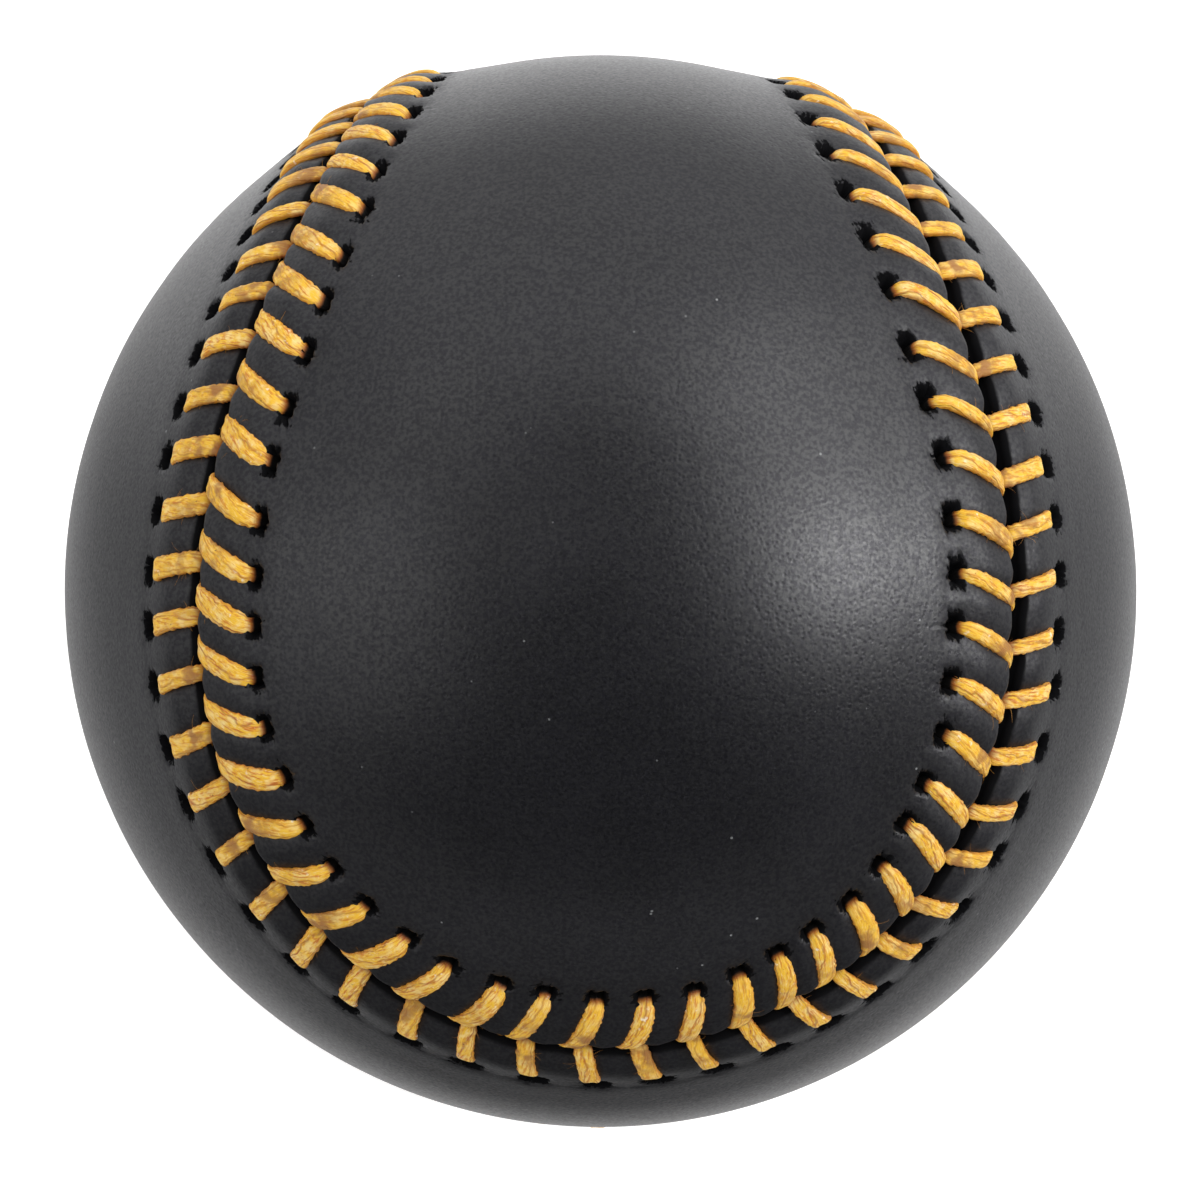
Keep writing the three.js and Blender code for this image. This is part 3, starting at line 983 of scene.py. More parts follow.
@dataclass(frozen=True)
class YarnWinding:
    """A wound layer: a hollow ball of yarn with the needle hole that its tail is drawn into."""

    name: str
    outer: float
    inner: float
    tail_direction: tuple[float, float, float]
    strand: float
    strands_per_pass: int
    passes: int
    relief: float
    seed: int
    bore_radius: float = 1.0
    outer_rows: int = 150
    inner_rows: int = 12
    sides: int = 300

    def lay(self, out: Array) -> tuple[Array, Array]:
        """Lays the passes of yarn one over another.

        A pass is a ribbon of strands round a great circle. At a distance d from the circle its height is the
        absolute cosine of pi d over the width of a strand, and it hides what lies under it.

        Args:
            out: Directions from the ball's centre.

        Returns:
            The height of the yarn from 0 to 1, and the chance tone of the pass on top.
        """
        rng = np.random.default_rng(self.seed)
        height = np.zeros(out.shape[:-1])
        tone = np.zeros(out.shape[:-1])
        half_ribbon = (self.strands_per_pass // 2 + 0.5) * self.strand
        for pole in unit(rng.normal(size=(self.passes, 3))):
            aside = self.outer * np.arcsin(np.clip(out @ pole, -1, 1))
            covered = np.abs(aside) < half_ribbon
            height = np.where(covered, np.abs(np.cos(math.pi * aside / self.strand)), height)
            tone = np.where(covered, rng.uniform(-1, 1), tone)
        return height, tone

    def build(self) -> bpy.types.Object:
        """Turns the hollow ball about its tail hole and lays the yarn on its outside.

        Returns:
            The winding's object.
        """
        turning = Turning(tuple(-x for x in self.tail_direction), self.sides)
        outer_mouth = math.pi - math.asin(self.bore_radius / self.outer)
        inner_mouth = math.pi - math.asin(self.bore_radius / self.inner)
        down = np.linspace(0, outer_mouth, self.outer_rows + 1)[1:]
        back = np.linspace(inner_mouth, 0, self.inner_rows + 1)[:-1]
        outside = turning.spread(self.outer * np.stack([np.sin(down), np.cos(down)], axis=-1))
        inside = turning.spread(self.inner * np.stack([np.sin(back), np.cos(back)], axis=-1))
        height, tone = self.lay(unit(outside))
        outside = outside * (1 - self.relief * (1 - height) / self.outer)[..., None]
        up = -np.array(self.tail_direction)
        rows = np.concatenate([outside, inside])
        points, faces = turning.skin(rows, up * (self.outer - self.relief / 2), up * self.inner)
        values = {"height": np.zeros(len(points)), "tone": np.zeros(len(points))}
        values["height"][: height.size] = height.ravel()
        values["tone"][: tone.size] = tone.ravel()
        return Skin(points, faces, values=values).to_object(self.name)


@dataclass(frozen=True)
class CorkCore:
    """The cork at the heart of the pill: a ball of pressed granules."""

    name: str = "heart_of_cork"
    radius: float = 10.3
    granule: float = 1.5
    relief: float = 0.16
    binder: float = 0.45
    rows: int = 90
    sides: int = 180
    seed: int = 8

    def build(self) -> bpy.types.Object:
        """Turns the ball and sinks it between its granules.

        The depth follows from the distances to the nearest and the next nearest of many chance granules.

        Returns:
            The core's object.
        """
        rng = np.random.default_rng(self.seed)
        seeds = unit(rng.normal(size=(int(4 * math.pi * self.radius**2 / self.granule**2), 3)))
        turning = Turning((0.0, 0.0, 1.0), self.sides)
        down = np.linspace(0, math.pi, self.rows + 2)[1:-1]
        rings = turning.spread(self.radius * np.stack([np.sin(down), np.cos(down)], axis=-1))
        closeness = np.sort(unit(rings).reshape(-1, 3) @ seeds.T, axis=-1)[:, -2:]
        angles = np.arccos(closeness.clip(-1, 1))
        apart = self.radius * (angles[:, 0] - angles[:, 1])
        sunk = self.relief * (1 - smooth_step(apart, 0.0, self.binder)).reshape(rings.shape[:2])
        rings = rings * (1 - sunk / self.radius)[..., None]
        pole = np.array([0.0, 0.0, self.radius - self.relief / 2])
        points, faces = turning.skin(rings, pole, -pole)
        return Skin(points, faces).to_object(self.name)


@dataclass(frozen=True)
class RubberShell:
    """Half of a hollow rubber ball, set back from the plane where it meets its other half."""

    name: str
    outer: float
    inner: float
    setback: float
    axis: tuple[float, float, float]
    lip: float = 0.3
    pimple: float = 0.12
    pimple_waves: tuple[int, int] = (12, 9)
    rows: int = 40
    sides: int = 160

    def build(self) -> bpy.types.Object:
        """Turns the shell's profile: the outer arc, a rounded lip, the flat rim and the inner arc.

        The outside is pimpled by a cosine round the axis times a sine down the arc.

        Returns:
            The shell's object.
        """
        outer_end = math.acos((self.setback + self.lip) / self.outer)
        inner_end = math.acos((self.setback + self.lip) / self.inner)
        down = np.linspace(0, outer_end, self.rows)[1:]
        back = np.linspace(inner_end, 0, self.rows)[:-1]
        outside = self.outer * np.stack([np.sin(down), np.cos(down)], axis=-1)
        inside = self.inner * np.stack([np.sin(back), np.cos(back)], axis=-1)
        turn = np.radians([22.0, 45.0, 68.0, 90.0])
        rim_out = outside[-1, 0] - self.lip * (1 - np.cos(turn))
        rim_in = inside[0, 0] + self.lip * (1 - np.cos(turn[::-1]))
        drop = self.setback + self.lip * (1 - np.sin(turn))
        lip = np.concatenate([np.stack([rim_out, drop], axis=-1), np.stack([rim_in, drop[::-1]], axis=-1)])
        turning = Turning(self.axis, self.sides)
        rows = turning.spread(np.concatenate([outside, lip, inside]))
        count = len(outside)
        around = np.arange(self.sides) / self.sides * 2 * math.pi
        ripples = np.cos(around * self.pimple_waves[0]) * np.sin(down[:, None] * self.pimple_waves[1])
        rows[:count] *= (1 - self.pimple * (1 + ripples) / 2 / self.outer)[..., None]
        up = unit(np.array(self.axis))
        points, faces = turning.skin(rows, up * (self.outer - self.pimple / 2), up * self.inner)
        return Skin(points, faces).to_object(self.name)


@dataclass(frozen=True)
class CupGasket:
    """The flat rubber ring that parts the two cups."""

    name: str = "gasket_ring"
    outer: float = 14.25
    inner: float = 10.55
    thickness: float = 0.8
    corner: float = 0.2
    sides: int = 160

    def build(self) -> bpy.types.Object:
        """Turns a rectangle with rounded corners about the cups' axis.

        Returns:
            The ring's object.
        """
        turn = np.radians(np.linspace(0, 90, 5))
        half = self.thickness / 2 - self.corner
        far, near = self.outer - self.corner, self.inner + self.corner
        quarter = self.corner * np.stack([np.sin(turn), np.cos(turn)], axis=-1)
        corners = [
            quarter + [far, half],
            quarter[::-1] * [1, -1] + [far, -half],
            -quarter + [near, -half],
            quarter[::-1] * [-1, 1] + [near, half],
        ]
        turning = Turning((0.0, 0.0, 1.0), self.sides)
        points, faces = turning.skin(turning.spread(np.concatenate(corners)))
        return Skin(points, faces).to_object(self.name)


class Shade:
    """The nodes of one material, added by short calls and ending in one Principled shader."""

    def __init__(self, name: str) -> None:
        """Starts a material.

        Args:
            name: The material's name.
        """
        self.material = bpy.data.materials.new(name)
        self.material.use_nodes = True
        self.tree = self.material.node_tree
        self.shader = self.tree.nodes["Principled BSDF"]

    def put(self, socket: bpy.types.NodeSocket, value: object) -> None:
        """Links another node's output to a socket, or sets a plain value on it.

        Args:
            socket: The socket.
            value: The output or the value.
        """
        if isinstance(value, bpy.types.NodeSocket):
            self.tree.links.new(value, socket)
        else:
            socket.default_value = value

    def node(
        self, kind: str, inputs: dict, output: int | str = 0, **settings: object
    ) -> bpy.types.NodeSocket:
        """Adds a node.

        Args:
            kind: The node's type.
            inputs: Values or outputs for its sockets, by name or number.
            output: Which of its outputs is wanted.
            settings: Values for its own settings.

        Returns:
            That output.
        """
        made = self.tree.nodes.new(kind)
        for key, value in settings.items():
            setattr(made, key, value)
        for key, value in inputs.items():
            self.put(made.inputs[key], value)
        return made.outputs[output]

    def millimetres(self) -> bpy.types.NodeSocket:
        """Gives the place on the piece in millimetres."""
        place = self.node("ShaderNodeTexCoord", {}, "Object")
        return self.node("ShaderNodeVectorMath", {0: place, "Scale": 1 / MM}, 0, operation="SCALE")

    def drawn(self, place: object, along: float, across: float) -> bpy.types.NodeSocket:
        """Scales a flat map along and across it."""
        return self.node("ShaderNodeMapping", {"Vector": place, "Scale": (along, across, 1.0)})

    def value(self, name: str) -> bpy.types.NodeSocket:
        """Gives one of the mesh's own values."""
        return self.node("ShaderNodeAttribute", {}, "Fac", attribute_name=name)

    def noise(self, place: object, size: float, detail: float = 3.0) -> bpy.types.NodeSocket:
        """Gives cloudy noise.

        Args:
            place: Where it is taken.
            size: The size of its clouds, in the place's own unit.
            detail: How many finer layers it has.

        Returns:
            Values of about 0 to 1.
        """
        return self.node("ShaderNodeTexNoise", {"Vector": place, "Scale": 1 / size, "Detail": detail})

    def cells(self, place: object, size: float, output: str = "Distance") -> bpy.types.NodeSocket:
        """Gives chance cells: the distance to a cell's heart in cell sizes, or its chance colour."""
        return self.node("ShaderNodeTexVoronoi", {"Vector": place, "Scale": 1 / size}, output)

    def ramp(
        self, value: object, low: float, high: float, start: float = 0.0, end: float = 1.0
    ) -> bpy.types.NodeSocket:
        """Carries a value smoothly from start at low to end at high."""
        inputs = {"Value": value, "From Min": low, "From Max": high, "To Min": start, "To Max": end}
        return self.node("ShaderNodeMapRange", inputs, 0, interpolation_type="SMOOTHSTEP")

    def sum(self, operation: str, first: object, second: object) -> bpy.types.NodeSocket:
        """Does a sum on two values."""
        return self.node("ShaderNodeMath", {0: first, 1: second}, 0, operation=operation)

    def mix(self, share: object, first: object, second: object) -> bpy.types.NodeSocket:
        """Mixes two colours by a share of the second."""
        return self.node("ShaderNodeMix", {0: share, 6: first, 7: second}, 2, data_type="RGBA")

    def bump(self, height: object, depth: float, under: object | None = None) -> bpy.types.NodeSocket:
        """Turns heights of 0 to 1 into a bumpy normal.

        Args:
            height: The heights.
            depth: What 1 stands for, in millimetres.
            under: A bumpy normal that it adds to.

        Returns:
            The normal.
        """
        inputs = {"Height": height, "Strength": 1.0, "Distance": depth * MM}
        if under is not None:
            inputs["Normal"] = under
        return self.node("ShaderNodeBump", inputs)

    def finish(self, **sockets: object) -> bpy.types.Material:
        """Sets the shader's sockets.

        Args:
            sockets: Values or outputs by the socket's name, written with underscores.

        Returns:
            The material.
        """
        for key, value in sockets.items():
            self.put(self.shader.inputs[key.replace("_", " ")], value)
        return self.material


@dataclass(frozen=True)
class LeatherFinish:
    """Dyed full-grain leather: near black, satin, with fine pores, dull spots and dust caught in it. The needle
    slits and the cut edge get painted shade, their reflection tinted almost away.
    """

    name: str = "black_leather_grain"
    colour: Colour = paint(8, 8, 12)
    faded: Colour = paint(22, 22, 27)
    raw: Colour = paint(13, 13, 15)
    dust: Colour = paint(116, 118, 118)
    dull: Colour = (0.64, 0.63, 0.67, 1.0)
    pit: Colour = (0.5, 0.48, 0.53, 1.0)
    painted_shade_tint: Colour = (0.06, 0.06, 0.06, 1.0)
    speck: float = 1.7
    pore: float = 0.38
    pore_depth: float = 0.008
    crease: float = 0.2
    crease_depth: float = 0.005
    roughness: float = 0.39
    seam_roughness: float = 0.11
    seam_dullness: float = 0.1
    gloss: float = 0.95

    def material(self) -> bpy.types.Material:
        """Makes the material.

        Returns:
            The material.
        """
        shade = Shade(self.name)
        place = shade.millimetres()
        clouds = shade.noise(place, 7.0, 4.0)
        pore = shade.ramp(shade.cells(place, self.pore), 0.05, 0.5, 1.0, 0.0)
        crease = shade.noise(place, self.crease, 4.0)
        mottle = shade.sum("ADD", shade.noise(place, 0.15, 2.0), shade.sum("MULTIPLY", clouds, 0.4))
        colour = shade.mix(shade.ramp(mottle, 0.5, 0.9), self.colour, self.faded)
        near_speck = shade.ramp(shade.cells(place, self.speck), 0.03, 0.07, 1.0, 0.0)
        chance = shade.node("ShaderNodeSeparateColor", {0: shade.cells(place, self.speck, "Color")})
        speck = shade.sum("MULTIPLY", near_speck, shade.ramp(chance, 0.6, 1.0))
        colour = shade.mix(speck, colour, self.dust)
        torn = shade.sum("SUBTRACT", shade.noise(place, 0.3, 4.0), 0.5)
        torn = shade.ramp(shade.sum("ADD", shade.value("hollow"), torn), 0.18, 0.44)
        # The needle slits and the cut edge down into the gap get painted shade: further on, their reflection is
        # tinted almost to black.
        sunk = shade.sum("MAXIMUM", torn, shade.ramp(shade.value("shaded"), 0.02, 0.5))
        colour = shade.mix(sunk, colour, self.raw)
        rough = shade.ramp(crease, 0.3, 0.7, self.roughness - 0.05, self.roughness + 0.06)
        seam_side = shade.value("seam_side")
        rough = shade.sum("ADD", rough, shade.sum("MULTIPLY", seam_side, self.seam_roughness))
        rough = shade.sum("MAXIMUM", rough, shade.sum("MULTIPLY", sunk, 0.95))
        spots = shade.ramp(shade.noise(place, 0.28, 6.0), 0.62, 0.38)
        tint = shade.mix(spots, WHITE, self.dull)
        tint = shade.mix(shade.sum("MULTIPLY", pore, 0.5), tint, self.pit)
        tint = shade.mix(shade.sum("MULTIPLY", seam_side, self.seam_dullness), tint, self.pit)
        # Painted shade: almost no reflection in the slits and on the cut edge.
        tint = shade.mix(sunk, tint, self.painted_shade_tint)
        normal = shade.bump(pore, -self.pore_depth)
        normal = shade.bump(crease, self.crease_depth, normal)
        return shade.finish(
            Base_Color=colour,
            Roughness=rough,
            Specular_IOR_Level=self.gloss,
            Specular_Tint=tint,
            Normal=normal,
        )


@dataclass(frozen=True)
class ThreadFinish:
    """Waxed golden thread: fibres along it, paler and browner strands, smudged where it rides high. Painted
    shade darkens its flanks, and turns it deep brown and then near black where it dives under the leather.

    Each draw is how finely fibres, hairs or speckles lie along the thread's map and across it.
    """

    name: str = "waxed_gold_thread"
    gold: Colour = paint(229, 178, 36)
    pale: Colour = paint(234, 208, 138)
    brown: Colour = paint(192, 104, 14)
    deep_brown_and_shade: Colour = paint(150, 66, 8)
    dirt: Colour = paint(84, 50, 30)
    painted_dive_shade: Colour = paint(10, 7, 5)
    smudge: Colour = paint(152, 100, 48)
    lint: Colour = paint(236, 226, 204)
    twist: float = math.radians(9.0)
    ply: float = 0.8
    fibre_draw: tuple[float, float] = (9.0, 80.0)
    hair_draw: tuple[float, float] = (26.0, 210.0)
    speckle_draw: tuple[float, float] = (22.0, 70.0)
    relief: float = 0.045
    roughness: float = 0.55
    gloss: float = 0.45

    def material(self) -> bpy.types.Material:
        """Makes the material.

        Returns:
            The material.
        """
        shade = Shade(self.name)
        place = shade.millimetres()
        thread_map = shade.node("ShaderNodeUVMap", {}, 0, uv_map="thread_map")
        run, tone = shade.value("run"), shade.value("tone")
        turned = shade.node("ShaderNodeMapping", {"Vector": thread_map, "Rotation": (0.0, 0.0, self.twist)})
        fibres = shade.noise(shade.drawn(turned, *self.fibre_draw), 1.0, 4.0)
        hairs = shade.noise(shade.drawn(turned, *self.hair_draw), 1.0, 3.0)
        speckle = shade.noise(shade.drawn(turned, *self.speckle_draw), 1.0, 3.0)
        blotch = shade.noise(place, 0.8, 5.0)
        colour = shade.mix(shade.ramp(blotch, 0.45, 0.68, 0.0, 0.75), self.gold, self.pale)
        colour = shade.mix(shade.ramp(fibres, 0.52, 0.33, 0.0, 0.95), colour, self.brown)
        colour = shade.mix(shade.ramp(hairs, 0.52, 0.7, 0.0, 0.6), colour, self.pale)
        colour = shade.mix(shade.ramp(speckle, 0.46, 0.3, 0.0, 0.7), colour, self.brown)
        colour = shade.mix(shade.ramp(speckle, 0.55, 0.7, 0.0, 0.7), colour, self.pale)
        around = shade.node("ShaderNodeSeparateXYZ", {0: turned}, "Y")
        wander = shade.sum("MULTIPLY", shade.noise(place, 2.2, 2.0), 0.12)
        turns = shade.sum("MULTIPLY", shade.sum("ADD", around, wander), MAP_UNIT / self.ply * math.pi)
        between = shade.sum("ABSOLUTE", shade.sum("SINE", turns, 0.0), 0.0)
        crack = shade.ramp(between, 0.0, 0.4, 0.65, 0.0)
        crack = shade.sum("MULTIPLY", crack, shade.ramp(blotch, 0.3, 0.5))
        colour = shade.mix(crack, colour, self.deep_brown_and_shade)
        colour = shade.mix(shade.ramp(tone, -1.0, 1.0, 0.0, 0.35), colour, self.gold)
        # Painted shade: the thread's flanks are mixed towards brown, darker at its sides.
        side = shade.node("ShaderNodeSeparateXYZ", {0: thread_map}, "Y")
        side = shade.sum("COSINE", shade.sum("MULTIPLY", side, 2 * math.pi * MAP_UNIT / THREAD_ROUND), 0.0)
        flank = shade.ramp(shade.sum("ABSOLUTE", side, 0.0), 0.75, 1.0, 0.0, 0.55)
        colour = shade.mix(flank, colour, self.brown)
        high = shade.sum("MULTIPLY", shade.ramp(run, 0.24, 0.42), shade.ramp(run, 0.6, 0.52))
        stain = shade.sum("MULTIPLY", high, shade.ramp(shade.noise(place, 1.1, 6.0), 0.4, 0.62, 0.0, 0.9))
        colour = shade.mix(shade.sum("MULTIPLY", stain, shade.ramp(tone, -0.9, 0.5)), colour, self.smudge)
        fleck = shade.ramp(shade.noise(place, 0.3, 3.0), 0.7, 0.77, 0.0, 0.7)
        colour = shade.mix(fleck, colour, self.dirt)
        frayed = shade.ramp(shade.noise(place, 0.5, 5.0), 0.63, 0.74, 0.0, 0.8)
        frayed = shade.sum("MULTIPLY", frayed, shade.ramp(run, 0.46, 0.2))
        colour = shade.mix(frayed, colour, self.lint)
        # Painted shade: the thread turns deep brown and then near black as it dives below the leather into the
        # holes and the gap.
        sunk = shade.sum("ADD", shade.value("sunk"), shade.sum("MULTIPLY", blotch, 0.3))
        colour = shade.mix(shade.ramp(sunk, -0.3, 0.12, 0.0, 0.85), colour, self.deep_brown_and_shade)
        colour = shade.mix(shade.ramp(sunk, 0.0, 0.32), colour, self.painted_dive_shade)
        relief = shade.sum("ADD", fibres, shade.sum("MULTIPLY", hairs, 0.6))
        relief = shade.sum("SUBTRACT", relief, crack)
        normal = shade.bump(relief, self.relief)
        return shade.finish(
            Base_Color=colour,
            Roughness=self.roughness,
            Specular_IOR_Level=self.gloss,
            Normal=normal,
        )


@dataclass(frozen=True)
class YarnFinish:
    """Wool or cotton yarn: soft, fibrous, with strands of slightly different shades."""

    name: str
    colour: Colour
    shadow: Colour
    light: Colour
    fluff_depth: float = 0.15
    roughness: float = 0.92
    sheen: float = 0.25

    def material(self) -> bpy.types.Material:
        """Makes the material.

        Returns:
            The material.
        """
        shade = Shade(self.name)
        place = shade.millimetres()
        fluff = shade.noise(place, 0.5, 5.0)
        colour = shade.mix(shade.ramp(shade.value("tone"), -1.0, 1.0), self.colour, self.light)
        colour = shade.mix(shade.ramp(shade.value("height"), 0.6, 0.05), colour, self.shadow)
        colour = shade.mix(shade.ramp(fluff, 0.5, 0.75, 0.0, 0.4), colour, self.light)
        normal = shade.bump(fluff, self.fluff_depth)
        return shade.finish(
            Base_Color=colour, Roughness=self.roughness, Sheen_Weight=self.sheen, Normal=normal
        )


@dataclass(frozen=True)
class RubberFinish:
    """Moulded rubber with a chalky bloom."""

    name: str
    colour: Colour
    bloom: Colour
    grain_depth: float = 0.02

    def material(self) -> bpy.types.Material:
        """Makes the material.

        Returns:
            The material.
        """
        shade = Shade(self.name)
        place = shade.millimetres()
        cloud = shade.noise(place, 3.0, 6.0)
        colour = shade.mix(shade.ramp(cloud, 0.45, 0.75, 0.0, 0.5), self.colour, self.bloom)
        rough = shade.ramp(cloud, 0.3, 0.7, 0.6, 0.85)
        normal = shade.bump(shade.noise(place, 0.25, 3.0), self.grain_depth)
        return shade.finish(Base_Color=colour, Roughness=rough, Normal=normal)


@dataclass(frozen=True)
class CorkFinish:
    """Pressed cork: granules of many browns in dark binder."""

    name: str = "pressed_cork"
    pale: Colour = paint(196, 148, 98)
    dark: Colour = paint(128, 82, 46)
    binder: Colour = paint(58, 34, 20)
    granule: float = 1.5
    pore_depth: float = 0.08
    roughness: float = 0.88

    def material(self) -> bpy.types.Material:
        """Makes the material.

        Returns:
            The material.
        """
        shade = Shade(self.name)
        place = shade.millimetres()
        granule = shade.node("ShaderNodeSeparateColor", {0: shade.cells(place, self.granule, "Color")})
        colour = shade.mix(granule, self.dark, self.pale)
        pores = shade.noise(place, 0.35, 4.0)
        colour = shade.mix(shade.ramp(pores, 0.6, 0.72), colour, self.binder)
        normal = shade.bump(pores, self.pore_depth)
        return shade.finish(Base_Color=colour, Roughness=self.roughness, Normal=normal)


@dataclass(frozen=True)
class PhotoCamera:
    """The camera: how far it is turned from looking straight down, how far off it is and how it frames."""

    turn: tuple[float, float, float] = (-0.194, 0.0155, -0.0165)
    distance: float = 0.5138
    focal_pixels: float = 7486.0
    frame_width: float = 1200.0
    right_pixels: float = 0.55
    up_pixels: float = 2.46
    sensor: float = 36.0

    @property
    def axes(self) -> tuple[Vector, Vector, Vector]:
        """The camera's own directions.

        Returns:
            Its right, its up and the way back from the ball to it.
        """
        turn = Vector(self.turn)
        rows = Matrix.Rotation(turn.length, 3, turn.normalized())
        return rows[0].copy(), rows[1].copy(), rows[2].copy()

    def build(self) -> bpy.types.Object:
        """Makes the camera and hands it to the scene.

        Returns:
            The camera's object.
        """
        right, up, back = self.axes
        pixel = self.distance / self.focal_pixels
        lens = bpy.data.cameras.new("view_from_above")
        lens.sensor_width = self.sensor
        lens.lens = self.focal_pixels / self.frame_width * self.sensor
        lens.clip_start, lens.clip_end = 0.02, 20.0
        camera = bpy.data.objects.new("view_from_above", lens)
        place = back * self.distance - right * self.right_pixels * pixel - up * self.up_pixels * pixel
        camera.matrix_world = Matrix.Translation(place) @ Matrix((right, up, back)).transposed().to_4x4()
        bpy.context.scene.collection.objects.link(camera)
        bpy.context.scene.camera = camera
        return camera


@dataclass(frozen=True)
class SoftBox:
    """A soft lamp, placed by how far it stands off the camera's axis and which way round the picture."""

    name: str
    off_axis: float
    round_picture: float
    distance: float
    width: float
    height: float
    radiance: float

    def build(self, camera: PhotoCamera) -> bpy.types.Object:
        """Hangs the lamp, facing the ball.

        Args:
            camera: The camera whose axis it is placed by.

        Returns:
            The lamp's object.
        """
        right, up, back = camera.axes
        off, turn = math.radians(self.off_axis), math.radians(self.round_picture)
        aside = right * math.cos(turn) + up * math.sin(turn)
        towards = back * math.cos(off) + aside * math.sin(off)
        light = bpy.data.lights.new(self.name, "AREA")
        light.shape = "RECTANGLE"
        light.size, light.size_y = self.width, self.height
        light.energy = self.radiance * math.pi * self.width * self.height
        lamp = bpy.data.objects.new(self.name, light)
        lamp.location = towards * self.distance
        lamp.rotation_mode = "QUATERNION"
        lamp.rotation_quaternion = (-towards).to_track_quat("-Z", "Y")
        lamp.visible_camera = False
        bpy.context.scene.collection.objects.link(lamp)
        return lamp


class RayKind(Enum):
    """The kinds of rays that show the background: straight from the camera, in gloss and through glass."""

    CAMERA = "Is Camera Ray"
    GLOSSY = "Is Glossy Ray"
    THROUGH = "Is Transmission Ray"


@dataclass(frozen=True)
class Studio:
    """A pale floor, soft lamps and plain surroundings.

    A change or a reach is the two distances from the ball's middle, in millimetres, between which a tone or
    a glow goes from its first value to its second.
    """

    floor_radii: tuple[float, float] = (8.0, 6000.0)
    floor_rings: int = 18
    floor_sides: int = 96
    floor_roughness: float = 0.9
    floor_tone: tuple[float, float] = (0.14, 0.88)
    tone_change: tuple[float, float] = (-62.0, -40.0)
    far_tone: float = 0.46
    far_change: tuple[float, float] = (62.0, 90.0)
    plain_glow: float = 0.5
    floor_glow: tuple[float, float] = (0.46, 1.0)
    glow_change: tuple[float, float] = (22.0, 78.0)
    glow_reach: tuple[tuple[float, float], tuple[float, float]] = ((52.0, 64.0), (100.0, 220.0))
    ambient: float = 0.75
    horizon: float = 0.92
    zenith: float = 0.035
    horizon_height: tuple[float, float] = (0.03, 0.13)
    lamps: tuple[SoftBox, ...] = (
        SoftBox("lamp_key", 52.5, 6.0, 0.5, 0.13, 0.19, 8.0),
        SoftBox("lamp_right", 56.0, 30.0, 0.5, 0.48, 0.44, 1.68),
        SoftBox("lamp_top", 66.0, 90.0, 0.55, 0.9, 0.6, 0.74),
        SoftBox("lamp_upper_left", 52.0, 154.0, 0.55, 0.45, 0.45, 0.5),
        SoftBox("lamp_left", 50.0, 186.0, 0.5, 0.34, 0.3, 0.72),
        SoftBox("lamp_front", 17.0, 135.0, 0.5, 0.07, 0.07, 2.0),
    )

    @staticmethod
    def ray_share(tree: bpy.types.NodeTree, kinds: tuple[RayKind, ...]) -> bpy.types.NodeSocket:
        """Gives 1 for rays of some kinds and 0 for the others.

        Args:
            tree: The nodes to add to.
            kinds: The kinds of rays.

        Returns:
            The share.
        """
        path = tree.nodes.new("ShaderNodeLightPath")
        share = path.outputs[kinds[0].value]
        for kind in kinds[1:]:
            either = tree.nodes.new("ShaderNodeMath")
            either.operation = "MAXIMUM"
            tree.links.new(share, either.inputs[0])
            tree.links.new(path.outputs[kind.value], either.inputs[1])
            share = either.outputs[0]
        return share

    def floor(self, level: float) -> bpy.types.Object:
        """Makes the floor: rings of a flat disc, each wider than the last by the same share.

        It is pale, and glows a little for the rays that show the background. Mirrored in gloss or seen
        through glass it is greyer far out and in front.

        Args:
            level: Its height in millimetres.

        Returns:
            The floor's object.
        """
        turning = Turning((0.0, 0.0, 1.0), self.floor_sides)
        radii = np.geomspace(*self.floor_radii, self.floor_rings)
        rows = turning.spread(np.stack([radii, np.full_like(radii, level)], axis=-1))
        numbers = np.arange(rows[..., 0].size).reshape(rows.shape[:2])
        points = np.concatenate([rows.reshape(-1, 3), [[0.0, 0.0, level]]])
        faces = [quads(ring_closed(numbers), True), fan(numbers.size, ring_closed(numbers)[0])]
        made = Skin(points, faces).to_object("studio_floor")
        shade = Shade("studio_floor_paint")
        place = shade.millimetres()
        back = shade.node("ShaderNodeSeparateXYZ", {0: place}, "Y")
        out = shade.node("ShaderNodeVectorMath", {0: place}, "Value", operation="LENGTH")
        mirrored = self.ray_share(shade.tree, (RayKind.GLOSSY, RayKind.THROUGH))
        tone = shade.ramp(back, *self.tone_change, *self.floor_tone)
        tone = shade.sum("MULTIPLY", tone, shade.ramp(out, *self.far_change, 1.0, self.far_tone))
        tone = shade.node("ShaderNodeMix", {0: mirrored, 2: self.floor_tone[1], 3: tone})
        near = shade.ramp(out, *self.glow_reach[0], self.floor_glow[0], 0.0)
        far = shade.ramp(out, *self.glow_reach[1], self.floor_glow[1], 0.0)
        glow = shade.node("ShaderNodeMix", {0: shade.ramp(back, *self.glow_change), 2: near, 3: far})
        straight = shade.sum("MULTIPLY", self.ray_share(shade.tree, (RayKind.CAMERA,)), self.plain_glow)
        glow = shade.sum("ADD", straight, shade.sum("MULTIPLY", mirrored, glow))
        paint_coat = shade.finish(
            Base_Color=tone,
            Roughness=self.floor_roughness,
            Specular_IOR_Level=0.0,
            Emission_Color=WHITE,
            Emission_Strength=glow,
        )
        made.data.materials.append(paint_coat)
        made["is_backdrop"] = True
        return made

